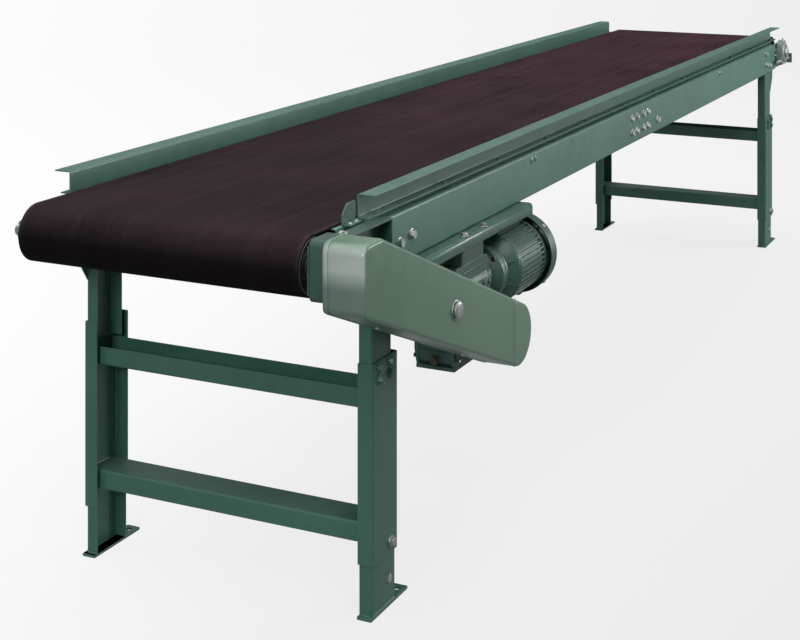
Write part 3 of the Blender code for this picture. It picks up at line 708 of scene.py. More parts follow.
def belting(name):
    """Friction-surface belt: woven carcass under a thin rubber skim, scuffed lengthwise, scraped at its edges."""
    k = Net(name)
    uv = k.n("ShaderNodeUVMap", uv_map="run").outputs["UV"]
    # cloth: warp along the belt, weft across it
    u = k.n("ShaderNodeSeparateXYZ")
    k.link(uv, u.inputs["Vector"])
    su, sv = u.outputs["X"], u.outputs["Y"]
    warp = k.math("SINE", k.math("MULTIPLY", sv, TAU / 0.0021))
    weft = k.math("SINE", k.math("MULTIPLY", su, TAU / 0.0034))
    over = k.math("MULTIPLY", warp, weft)
    thread = k.math("ADD", k.math("MULTIPLY", k.math("ABSOLUTE", warp), 0.45), k.math("MULTIPLY", k.math("ABSOLUTE", weft), 0.35))
    cloth = k.math("ADD", k.math("MULTIPLY", over, 0.22), thread)
    skim = k.noise(240.0, 4, 0.65, uv)
    streak = k.noise(1.0, 6, 0.62, k.mapping(uv, (0.55, 26.0, 1.0)))
    thin = k.noise(1.0, 5, 0.68, k.mapping(uv, (2.2, 150.0, 1.0), (3.1, 0.4, 0)))
    cloud = k.noise(3.4, 5, 0.6, uv)
    blot = k.noise(16.0, 5, 0.62, uv, dist=0.6)
    col = k.mix(k.remap(cloud, 0.30, 0.72, 0.0, 1.0), (0.0090, 0.0058, 0.0066), (0.0215, 0.0118, 0.0140))
    col = k.mix(k.remap(streak, 0.44, 0.72, 0.0, 0.42), col, (0.026, 0.0165, 0.0190))
    col = k.mix(k.remap(thin, 0.52, 0.76, 0.0, 0.30), col, (0.036, 0.025, 0.027))
    col = k.mix(k.remap(blot, 0.58, 0.78, 0.0, 0.28), col, (0.0065, 0.0050, 0.0055))
    col = k.mix(k.remap(cloth, 0.15, 0.95, 0.0, 0.30), col, (0.021, 0.0150, 0.0165))
    # edges: lighter fray line on both sides and the carcass showing on the cut edge
    av = k.math("ABSOLUTE", sv)
    rim = k.remap(av, 0.2925, 0.3035, 0.0, 1.0)
    fray = k.math("MULTIPLY", rim, k.remap(k.noise(60.0, 5, 0.7, uv), 0.36, 0.62, 0.0, 0.55))
    col = k.mix(fray, col, (0.055, 0.044, 0.042))
    cut = k.remap(av, 0.30365, 0.3039, 0.0, 1.0)
    ply = k.math("SINE", k.math("MULTIPLY", k.n_attr("ply"), TAU * 3.0))
    col = k.mix(k.math("MULTIPLY", cut, k.remap(ply, 0.1, 0.9, 0.15, 0.75)), col, (0.16, 0.135, 0.115))
    rg = k.remap(streak, 0.35, 0.7, 0.80, 0.64)
    rg = k.math("ADD", rg, k.remap(skim, 0.3, 0.7, -0.04, 0.06))
    b = k.bump(cloth, 0.42, 0.0005)
    b = k.bump(skim, 0.35, 0.0006, b)
    b = k.bump(cloud, 0.20, 0.006, b)
    # painted light and shade: the belt is painted lighter and more purple towards the far end as a painted sheen, and
    # near black where it faces down round the pulleys and underneath as painted shade
    nz = k.n("ShaderNodeSeparateXYZ")
    k.link(k.n("ShaderNodeNewGeometry").outputs["Normal"], nz.inputs["Vector"])
    run = k.n("ShaderNodeSeparateXYZ")
    k.link(k.co.outputs["Object"], run.inputs["Vector"])
    painted_sheen_tint = k.mix(k.remap(run.outputs["X"], -1.5, 1.2, 0.0, 1.0), (1.14, 1.17, 1.18), (1.98, 1.58, 1.70))
    col = k.mix(1.0, col, painted_sheen_tint, "MULTIPLY")
    col = k.mix(k.remap(nz.outputs["Z"], 0.02, 0.93, 0.84, 0.0), col, (0.0016, 0.0014, 0.0015))
    k.principled(Base_Color=col, Roughness=rg, Normal=b, Specular_IOR_Level=0.03,
                 Sheen_Weight=0.0, Sheen_Roughness=0.45, Sheen_Tint=(0.75, 0.62, 0.66))
    return k.m


def _attr(self, name):
    return self.n("ShaderNodeAttribute", attribute_name=name).outputs["Fac"]


Net.n_attr = _attr

GREEN = (0.044, 0.128, 0.097)
M_PAINT = enamel("frame_enamel", GREEN, (0.062, 0.158, 0.124), (0.030, 0.098, 0.072))
M_RAIL = enamel("rail_enamel", (0.038, 0.104, 0.080), (0.052, 0.130, 0.102), (0.026, 0.080, 0.060))
# painted shade: a darker copy of the frame green, used for the supports, brackets, gearmotor base and rail end gusset
# beneath and beside the bed
M_PAINT_LEG = enamel("support_enamel_painted_shade", (0.025, 0.082, 0.060), (0.037, 0.106, 0.080), (0.016, 0.060, 0.043), wear=0.42)
# the guard's face towards -x gets a painted highlight, pale at its top and greyer below
M_GUARD = enamel("guard_enamel", (0.082, 0.158, 0.102), (0.104, 0.186, 0.126), (0.060, 0.122, 0.076), rough=0.33, wear=0.45,
                 front_highlight=(0.235, 0.275, 0.255))
# painted highlight: a lighter copy of the guard green for the end cap seam, standing in for the light its rounded fold
# catches
M_SEAM = enamel("guard_seam_painted_highlight_enamel", (0.150, 0.215, 0.165), (0.180, 0.245, 0.195), (0.115, 0.170, 0.125), rough=0.36, wear=0.5)
M_DRIVE = enamel("drive_enamel", (0.024, 0.068, 0.054), (0.038, 0.092, 0.074), (0.014, 0.046, 0.036), rough=0.40, cast=True, wear=0.30)
M_MOTOR = enamel("motor_enamel", (0.019, 0.062, 0.047), (0.029, 0.084, 0.066), (0.012, 0.044, 0.033), rough=0.40, wear=0.25)
# painted shade: a near-black copy of the drive green, for the guard mount box beside the drive pulley
M_SHADE = enamel("drive_end_painted_shade_enamel", (0.013, 0.046, 0.036), (0.020, 0.060, 0.047), (0.008, 0.032, 0.025), rough=0.44, wear=0.15, dust=0.04, coat=0.06)
M_CAST = enamel("takeup_enamel", (0.150, 0.190, 0.172), (0.185, 0.226, 0.206), (0.108, 0.146, 0.130), rough=0.42, cast=True, wear=0.4)
M_ZINC = steel("zinc_hardware", (0.34, 0.36, 0.352), 0.42, stained=0.22)
M_DULL = steel("black_hardware", (0.10, 0.12, 0.115), 0.42, stained=0.4, stain=(0.05, 0.04, 0.03))
M_TURNED = steel("turned_steel", (0.46, 0.46, 0.45), 0.30, brushed=(1.0, 14.0, 1.0), stained=0.3)
M_DRUM = steel("pulley_steel", (0.085, 0.085, 0.082), 0.52, brushed=(1.0, 14.0, 1.0), stained=0.5, stain=(0.03, 0.026, 0.022))
M_CHAIN = steel("oiled_chain", (0.21, 0.205, 0.20), 0.28, stained=0.55, stain=(0.06, 0.045, 0.03))
M_BRONZE = steel("worm_bronze", (0.44, 0.26, 0.10), 0.30, stained=0.3, stain=(0.13, 0.06, 0.02))
M_PLUG = steel("dull_brass", (0.085, 0.080, 0.055), 0.46, stained=0.4, stain=(0.03, 0.03, 0.025))
M_BELT = belting("belt_cover")


# ------------------------------------------------------------------ bed: channels, pans, rails
def channel_outline(s):
    mid = [(-FRAME_HALF + CH_FL, CH_Z0 + CH_T / 2), (-FRAME_HALF + CH_T / 2, CH_Z0 + CH_T / 2),
           (-FRAME_HALF + CH_T / 2, CH_Z1 - CH_T / 2), (-FRAME_HALF + CH_FL, CH_Z1 - CH_T / 2)]
    out = sheet(mid, CH_T, 4.5, 8)
    return out if s < 0 else mir(out)


SIDES = (("right", -1), ("left", 1))
CD, CT = ext_of("bed_channel_drive_right"), ext_of("bed_channel_tail_right")
for side, s in SIDES:
    q = Shape()
    extrude(q, channel_outline(s), "X", CD[0], CD[1])
    piece(f"channel_drive_{side}", q, "bed_frame", M_PAINT, 0.7,
          replaces=(f"bed_channel_drive_{side}",))
    q = Shape()
    extrude(q, channel_outline(s), "X", CT[0], 1666.0)
    a, b = sorted((s * (FRAME_HALF - 0.03), s * (FRAME_HALF - CH_T)))
    block(q, 1640, CT[1], a, b, CH_Z0 + 5, CH_Z1 - 5)
    piece(f"channel_tail_{side}", q, "bed_frame", M_PAINT, 0.7,
          replaces=(f"bed_channel_tail_{side}",))

for n in ("slider_pan_drive", "slider_pan_tail", "splice_plate_right", "splice_plate_left",
          "cross_tie_drive", "cross_tie_tail"):
    keep(n, M_PAINT, 0.5)


def rail_outline(s):
    t = 1.35
    mid = [(-331.0, 751.0 + t), (-306.6 - t, 751.0 + t), (-306.6 - t, 797.0 - t), (-345.0, 797.0 - t)]
    out = sheet(mid, 2.7, 3.2, 7)
    return out if s < 0 else mir(out)


for side, s in SIDES:
    e = ext_of(f"guard_rail_{side}")
    q = Shape()
    extrude(q, rail_outline(s), "X", e[0], e[1])
    piece(f"rail_{side}", q, "bed_frame", M_RAIL, 0.6, replaces=(f"guard_rail_{side}",))
    q = Shape()
    n = 12
    for i in range(n):
        x = e[0] + 60 + (e[1] - e[0] - 120) * i / (n - 1)
        dome(q, (x, s * 321.0, 753.7), (0, 0, 1), 6.2, 3.4, 20, recess=2.4)
    piece(f"rail_screws_{side}", q, "bed_frame", M_PAINT, angle=40)

# fasteners through the channel webs
for side, s in SIDES:
    out = (0, s, 0)
    y = s * FRAME_HALF
    q = Shape()
    for x, z in ((-1545, 680), (-1492, 686), (-1600, 702), (1552, 712), (1610, 664)):
        if s > 0 or x != -1600:
            bolt(q, (x, y, z), out, 16, 6.6, 11.5, 1.8)
    for x in (-72, -30, 30, 72):
        for z in (668, 708):
            bolt(q, (x, y, z), out, 14, 6.0, 10.5, 1.8)
    for x in ((RETURN_X, SNUB_TAIL_X) if s < 0 else (SNUB_DRIVE_X, RETURN_X, SNUB_TAIL_X)):
        bolt(q, (x, y, ROLL_Z), out, 16, 7.0, 12.0, 2.0)
    piece(f"bed_bolts_{side}", q, "bed_frame", M_ZINC, angle=35)
    q = Shape()
    for x in (-842, -818, 878, 902):
        dome(q, (x, y, 722), out, 8.0, 3.2, 24)
    piece(f"tie_rivets_{side}", q, "bed_frame", M_PAINT, angle=40)
    q = Shape()
    inn = (0, -s, 0)
    yi = s * (SPL_Y - 5.1)
    for x in (-72, -30, 30, 72):
        for z in (668, 708):
            bolt(q, (x, yi, z), inn, 14, 7.0, 10.5, 1.8, stud=5, sr=4)
    piece(f"splice_nuts_{side}", q, "bed_frame", M_ZINC, angle=35)

# cross tie end welds
q = Shape()
for x in (-830.0, 890.0):
    for s in (-1, 1):
        weld(q, (x - 17, s * 323.2, 735.3), (x + 17, s * 323.2, 735.3), 2.0)
piece("tie_welds", q, "bed_frame", M_PAINT, angle=60)


# ------------------------------------------------------------------ belt
def belt():
    mid_r = PULLEY_R + 0.3 + BELT_T / 2
    snub_r = ROLL_R + 0.3 + BELT_T / 2
    path = loop_path([(TAIL_X, SHAFT_Z, mid_r, 1), (DRIVE_X, SHAFT_Z, mid_r, 1),
                      (SNUB_DRIVE_X, ROLL_Z, snub_r, -1), (SNUB_TAIL_X, ROLL_Z, snub_r, -1),
                      (TAIL_X - 42.0, SHAFT_Z, mid_r, 1)], 40, 60.0)
    # section across the belt: (y, offset from the middle), rounded at the cut edges
    h, w, r = BELT_T / 2, BELT_HALF, 0.9
    ys = [w - 4, w * 0.985, w * 0.9, w * 0.6, w * 0.2]
    sec = [(y, h) for y in (-w + 4, -w * 0.9, -w * 0.5, 0, w * 0.5, w * 0.9, w - 4)]
    sec += [(w - r + r * math.sin(math.radians(a)), h - r + r * math.cos(math.radians(a))) for a in (0, 30, 60, 90)]
    sec += [(w, 0.8), (w, -0.8)]
    sec += [(w - r + r * math.cos(math.radians(a)), -h + r - r * math.sin(math.radians(a))) for a in (0, 30, 60, 90)]
    low = [(-y, -d) for y, d in sec]
    sec = sec + low
    n = len(sec)
    s = [0.0]
    for i in range(1, len(path)):
        s.append(s[-1] + math.hypot(path[i][0][0] - path[i - 1][0][0], path[i][0][1] - path[i - 1][0][1]))
    total = s[-1] + math.hypot(path[0][0][0] - path[-1][0][0], path[0][0][1] - path[-1][0][1])
    q = Shape()
    rings = []
    for i, ((x, z), (nx, nz)) in enumerate(path):
        ring = []
        for y, d in sec:
            ring.append((x + nx * d, y, z + nz * d))
        rings.append(ring)
    skin(q, rings, caps=False, close=True)
    ob = piece("belt", q, "bed_frame", M_BELT, angle=50, replaces=("conveyor_belt",))
    me = ob.data
    uv = me.uv_layers.new(name="run")
    ply = me.attributes.new("ply", "FLOAT", "POINT")
    ply.data.foreach_set("value", [(sec[k % n][1] / BELT_T + 0.5) for k in range(len(me.vertices))])
    m = len(path)
    for poly in me.polygons:
        ids = [me.loops[l].vertex_index for l in poly.loop_indices]
        wrap = any(i // n == m - 1 for i in ids) and any(i // n == 0 for i in ids)
        for l, i in zip(poly.loop_indices, ids):
            u = s[i // n]
            if wrap and i // n == 0:
                u = total
            uv.data[l].uv = (u * MM, sec[i % n][0] * MM)
    # hook lacing where the belt's two ends meet, on the return run
    q = Shape()
    x0, zc = 520.0, 695.0 + BELT_T / 2
    k = 46
    for i in range(k):
        y = -BELT_HALF + 8 + (2 * BELT_HALF - 16) * i / (k - 1)
        pts = [(x0 - 15, y, zc - 1.2), (x0 - 14, y, zc - 3.1), (x0 - 4, y, zc - 3.2), (x0 + 1.5, y, zc - 1.6), (x0 + 2.6, y, zc)]
        tube(q, pts, 0.75, 6)
        y2 = y + 6.4 if i < k - 1 else y - 4
        pts = [(x0 + 15, y2, zc - 1.2), (x0 + 14, y2, zc - 3.1), (x0 + 4, y2, zc - 3.2), (x0 - 1.5, y2, zc - 1.6), (x0 - 2.6, y2, zc)]
        tube(q, pts, 0.75, 6)
    rod(q, 1.0, -BELT_HALF + 3, BELT_HALF - 3, "Y", (x0, 0, zc - 1.4), 0.3, 10)
    piece("belt_lacing", q, "bed_frame", M_ZINC, angle=50)


belt()


# ------------------------------------------------------------------ pulleys, shafts, rollers
def pulley(name, x, body, node):
    q = Shape()
    R, H = PULLEY_R, PULLEY_HALF
    # crowned face, recessed end discs with welded hubs
    outer = [(R - 6.5, H), (R - 1.4, H), (R - 0.25, H - 1.2), (R, H * 0.4), (R, -H * 0.4), (R - 0.25, -H + 1.2), (R - 1.4, -H), (R - 6.5, -H)]
    prof = outer + [(R - 6.5, -H + 7), (R - 8.5, -H + 8.5), (27, -H + 8.5), (25.5, -H + 7), (25.5, -H + 1.5), (24.2, -H + 0.4),
                    (SHAFT_R + 0.25, -H + 0.4), (SHAFT_R + 0.25, -H + 30), (R - 7, -H + 20),
                    (R - 7, H - 20), (SHAFT_R + 0.25, H - 30), (SHAFT_R + 0.25, H - 0.4),
                    (24.2, H - 0.4), (25.5, H - 1.5), (25.5, H - 7), (27, H - 8.5), (R - 8.5, H - 8.5), (R - 6.5, H - 7)]
    lathe(q, prof, "Y", (x, 0, SHAFT_Z), 96)
    piece(f"{name}_drum", q, body, M_DRUM, angle=30, replaces=(node,))
    q = Shape()
    for s in (-1, 1):
        for k in range(3):
            a = TAU * k / 3 + 0.5
            hexa(q, (x + 19.3 * math.cos(a), s * (H - 0.6), SHAFT_Z + 19.3 * math.sin(a)), (0, s, 0), 6.0, 1.6)
    piece(f"{name}_bush_screws", q, body, M_DULL, angle=35)


pulley("drive_pulley", DRIVE_X, "drive_rotor", "drive_pulley")
pulley("tail_pulley", TAIL_X, "tail_rotor", "tail_pulley")

e = ext_of("drive_shaft")
q = Shape()
rod(q, SHAFT_R, e[2], e[3], "Y", (DRIVE_X, 0, SHAFT_Z), 1.2, 56)
cut = Shape()
block(cut, DRIVE_X - 3.2, DRIVE_X + 3.2, e[2] - 2, e[2] + 40, SHAFT_Z + SHAFT_R - 3.0, SHAFT_Z + 20)
lathe(cut, [(0, e[3] - 9), (2.2, e[3] - 9), (4.2, e[3] + 1), (0, e[3] + 1)], "Y", (DRIVE_X, 0, SHAFT_Z), 24)
piece("drive_shaft_turned", q, "drive_rotor", M_TURNED, angle=30, cuts=cut, replaces=("drive_shaft",))
q = Shape()
block(q, DRIVE_X - 3.0, DRIVE_X + 3.0, e[2] + 4, e[2] + 38, SHAFT_Z + SHAFT_R - 2.8, SHAFT_Z + SHAFT_R + 2.2, 1.4)
piece("drive_shaft_key", q, "drive_rotor", M_DULL, 0.3)

e = ext_of("tail_shaft")
q = Shape()
rod(q, SHAFT_R, e[2], e[3], "Y", (TAIL_X, 0, SHAFT_Z), 1.2, 56)
cut = Shape()
lathe(cut, [(0, e[3] - 9), (2.2, e[3] - 9), (4.2, e[3] + 1), (0, e[3] + 1)], "Y", (TAIL_X, 0, SHAFT_Z), 24)
lathe(cut, [(0, e[2] + 9), (2.2, e[2] + 9), (4.2, e[2] - 1), (0, e[2] - 1)], "Y", (TAIL_X, 0, SHAFT_Z), 24)
piece("tail_shaft_turned", q, "tail_rotor", M_TURNED, angle=30, cuts=cut, replaces=("tail_shaft",))

for nm, body, x in (("snub_roller_drive", "snub_drive", SNUB_DRIVE_X), ("return_roller", "return_idler", RETURN_X),
                    ("snub_roller_tail", "snub_tail", SNUB_TAIL_X)):
    q = Shape()
    R, H = ROLL_R, 302.0
    prof = [(R - 0.9, H), (R, H - 0.9), (R, -H + 0.9), (R - 0.9, -H), (R - 2.2, -H), (R - 2.6, -H + 1.8), (R - 5.2, -H + 1.8), (R - 6.0, -H + 3.0),
            (11.5, -H + 3.0), (10.8, -H + 1.6), (6.35, -H + 1.6), (6.35, -H + 14), (R - 2.2, -H + 14),
            (R - 2.2, H - 14), (6.35, H - 14), (6.35, H - 1.6), (10.8, H - 1.6), (11.5, H - 3.0),
            (R - 6.0, H - 3.0), (R - 5.2, H - 1.8), (R - 2.6, H - 1.8), (R - 2.2, H)]
    lathe(q, prof, "Y", (x, 0, ROLL_Z), 64)
    piece(f"{nm}_tube", q, body, M_DRUM, angle=30, replaces=(nm,))
    keep(nm.replace("roller", "axle"), M_TURNED, 0.0)

# drive end plates and bearings
for side, s in SIDES:
    keep(f"drive_end_plate_{side}", M_PAINT, 0.8)
    q = Shape()
    e = ext_of(f"drive_bearing_{side}")
    a, b = (e[3], e[2]) if s < 0 else (e[2], e[3])      # a is the inner end
    t = abs(b - a)
    prof = fillet([(SHAFT_R + 0.3, 0), (19.0, 0), (19.0, 1.6), (21.2, 2.2), (24.0, 3.0), (29.0, t * 0.52), (29.0, t), (SHAFT_R + 0.3, t)],
                  [0, 0.4, 0.2, 0.4, 0.8, 1.4, 0.4, 0], 3)
    lathe(q, prof, (0, s, 0), (DRIVE_X, a, SHAFT_Z), 56)
    piece(f"drive_bearing_cast_{side}", q, "bed_frame", M_DRIVE, angle=32, replaces=(f"drive_bearing_{side}",))
q = Shape()
for k in range(4):
    a = math.radians(45 + 90 * k)
    c = (DRIVE_X + 24.5 * math.cos(a), SPL_Y, SHAFT_Z + 24.5 * math.sin(a))
    if math.cos(a) > -2:
        bolt(q, c, (0, 1, 0), 8.0, 3.6, 5.4, 0.9)
lathe(q, fillet([(SHAFT_R + 0.25, -0.3), (16.6, -0.3), (16.6, 9.0), (SHAFT_R + 0.25, 9.0)], [0, 0.3, 1.0, 0], 3), "Y", (DRIVE_X, SPL_Y, SHAFT_Z), 48)
piece("drive_shaft_collar_left", q, "bed_frame", M_DULL, angle=35)


# ------------------------------------------------------------------ supports
def c_outline(x0, x1, s, yo, yin, t, rm, seg=8):
    mid = [(x0 + t / 2, s * yin), (x0 + t / 2, s * (yo - t / 2)), (x1 - t / 2, s * (yo - t / 2)), (x1 - t / 2, s * yin)]
    return sheet(mid, t, rm, seg)


YN = FRAME_HALF - LEG_T - 0.3
for end, xc in (("near", -LEG_X), ("far", LEG_X)):
    sup = f"support_{end}"
    fx = -1 if end == "near" else 1
    for side, s in SIDES:
        e = ext_of(f"leg_{end}_{side}")
        out = (0, s, 0)
        # leg: bent channel with long holes for setting the height and holes for the foot
        q = Shape()
        extrude(q, c_outline(e[0], e[1], s, FRAME_HALF, FRAME_HALF - LEG_FL, LEG_T, 4.6), "Z", e[4], e[5])
        cut = Shape()
        ya, yb = sorted((s * 320, s * 336))
        for dx in (-23, 23):
            extrude(cut, slot2(xc + dx, 452, 5.6, 12, 90, 8), "Y", ya, yb)
        extrude(cut, slot2(xc + 23, 119, 5.6, 6, 90, 8), "Y", ya, yb)
        piece(f"leg_channel_{end}_{side}", q, sup, M_PAINT_LEG, 0.7, cuts=cut, replaces=(f"leg_{end}_{side}",))
        q = Shape()
        bolt(q, (xc + 23, s * FRAME_HALF, 121), out, 16, 6.6, 11.0, 2.2)
        piece(f"leg_bolts_{end}_{side}", q, sup, M_ZINC, angle=35)
        q = Shape()
        for dx in (-23, 23):
            for z in (441, 463):
                bolt(q, (xc + dx, s * FRAME_HALF, z), out, 15, 5.4, 11.0, 1.8)
        piece(f"leg_clamp_bolts_{end}_{side}", q, sup, M_PAINT_LEG, angle=35)

        # upper bracket: nested channel, flared head plate, welded cap bolted to the bed channel
        bx0, bx1 = xc - LEG_W / 2 + LEG_T + 0.4, xc + 34.0
        t = 3.2
        b = ext_of(f"upper_bracket_{end}_{side}")
        q = Shape()
        extrude(q, c_outline(bx0, bx1, s, YN, 299.0, t, 4.2, 7), "Z", b[4], CH_Z0 - 2)
        add = Shape()
        if fx < 0:
            head = rpoly([(bx0 + 1.2, 560), (bx0 - 35.8, 614), (bx0 - 35.8, CH_Z0 - 0.5), (bx0 + 1.2, CH_Z0 - 0.5)], [0, 5, 0, 0])
        else:
            head = rpoly([(bx1 - 1.2, 560), (bx1 - 1.2, CH_Z0 - 0.5), (bx1 + 35.8, CH_Z0 - 0.5), (bx1 + 35.8, 614)], [0, 0, 0, 5])
        extrude(add, head, "Y", *sorted((s * (YN - 0.02), s * (YN - t + 0.02))))
        x0 = bx0 - 36.2 if fx < 0 else bx0 + 0.05
        x1 = bx1 - 0.05 if fx < 0 else bx1 + 36.2
        top = Shape()
        block(top, x0, x1, *sorted((s * (YN - 0.04), s * 297.0)), CH_Z0 - 4.3, CH_Z0 - 0.3, 2.0)
        ob = piece(f"bracket_{end}_{side}", q, "bed_frame", M_PAINT_LEG, 0.0, adds=add,
                   replaces=(f"upper_bracket_{end}_{side}",))
        boolean(ob, top, "UNION")
        ob.data.shade_smooth()
        bevelled(ob, 0.6)
        q = Shape()
        xa, xb = (bx0 - 24, xc + 12) if fx < 0 else (xc - 30, bx1 + 24)
        for x in (xa, xb):
            bolt(q, (x, s * 310.0, CH_Z0 - 4.4), (0, 0, -1), 14, 6.2, 10.5, 1.8, stud=5, sr=4.2)
            bolt(q, (x, s * 310.0, CH_Z0 + CH_T), (0, 0, 1), 14, 6.0, 10.5, 1.8)
        piece(f"bracket_bolts_{end}_{side}", q, "bed_frame", M_ZINC, angle=35)
        q = Shape()
        zt = CH_Z0 - 4.6
        weld(q, (bx0 + 3.6, s * (YN - 4.0), zt), (bx1 - 3.6, s * (YN - 4.0), zt), 2.2)
        weld(q, (bx0 + 4.4, s * (YN - 5), zt), (bx0 + 4.4, s * 301, zt), 2.2)
        weld(q, (bx1 - 4.4, s * (YN - 5), zt), (bx1 - 4.4, s * 301, zt), 2.2)
        piece(f"bracket_welds_{end}_{side}", q, "bed_frame", M_PAINT_LEG, angle=60)

        # foot: nested channel welded to a floor plate with an anchor hole
        f = ext_of(f"foot_{end}_{side}")
        w = LEG_W / 2 - LEG_T - 0.4
        q = Shape()
        extrude(q, c_outline(xc - w, xc + w, s, YN, 300.0, t, 4.2, 7), "Z", 2.5, f[5])
        add = Shape()
        block(add, f[0], f[1], *sorted((s * FRAME_HALF, s * 299.0)), 0, 5.0, 2.5)
        cut = Shape()
        extrude(cut, circle(f[1] - 18, s * 314.5, 6.5, 28), "Z", -4, 10)
        ya, yb = sorted((s * 315, s * 336))
        extrude(cut, circle(xc + 23, 49, 5.4, 24), "Y", ya, yb)
        piece(f"foot_plate_{end}_{side}", q, f"foot_body_{end}_{side}", M_PAINT_LEG, 0.6, adds=add, cuts=cut,
              replaces=(f"foot_{end}_{side}",))
        q = Shape()
        weld(q, (xc - w + 4, s * (YN + 0.1), 5.6), (xc + w - 4, s * (YN + 0.1), 5.6), 2.0)
        weld(q, (xc + w + 0.2, s * (YN - 4), 5.6), (xc + w + 0.2, s * 302, 5.6), 2.4)
        weld(q, (xc - w - 0.2, s * (YN - 4), 5.6), (xc - w - 0.2, s * 302, 5.6), 2.4)
        piece(f"foot_welds_{end}_{side}", q, f"foot_body_{end}_{side}", M_PAINT_LEG, angle=60)
        q = Shape()
        bolt(q, (xc + 23, s * YN, 49), out, 16, 2.6, 0, 0)
        piece(f"foot_bolt_{end}_{side}", q, f"foot_body_{end}_{side}", M_ZINC, angle=35)

    # cross members, open upwards, welded into the legs
    for nm, z in (("lower", 135.0), ("upper", 386.0)):
        e = ext_of(f"crossbar_{end}_{nm}")
        t, W = 3.2, e[1] - e[0]
        h = W / 2 - t / 2
        flat_up = nm == "lower"
        z_web, z_rim = (e[5] - t / 2, e[4]) if flat_up else (e[4] + t / 2, e[5])
        mid = [(xc - h, z_rim), (xc - h, z_web), (xc + h, z_web), (xc + h, z_rim)]
        q = Shape()
        extrude(q, sheet(mid, t, 4.4, 8), "Y", e[2], e[3])
        piece(f"crossbar_channel_{end}_{nm}", q, sup, M_PAINT_LEG, 0.7, replaces=(f"crossbar_{end}_{nm}",))
        q = Shape()
        for s in (-1, 1):
            y = s * (SPL_Y - 0.4)
            weld(q, (xc - W / 2 - 0.6, y, e[4] + 5), (xc - W / 2 - 0.6, y, e[5] - 1), 2.4)
            weld(q, (xc + W / 2 + 0.6, y, e[4] + 5), (xc + W / 2 + 0.6, y, e[5] - 1), 2.4)
            zw = e[5] + 0.6 if flat_up else e[4] - 0.6
            weld(q, (xc - W / 2 + 5, y, zw), (xc + W / 2 - 5, y, zw), 2.4)
        piece(f"crossbar_welds_{end}_{nm}", q, sup, M_PAINT_LEG, angle=60)


# ------------------------------------------------------------------ gearmotor base
keep("gearmotor_base", M_PAINT_LEG, 0.9)
q = Shape()
for x in (-1270, -1170):
    bolt(q, (x, -346.0, 637.1), (0, 0, 1), 13, 5.5, 9.5, 1.6)
for x in (-1440, -1306, -1128, -1010, -918):
    bolt(q, (x, -311.0, 632.1), (0, 0, -1), 14, 6.0, 10.5, 1.8, stud=4, sr=4.2)
piece("gearmotor_base_bolts", q, "bed_frame", M_ZINC, angle=35)


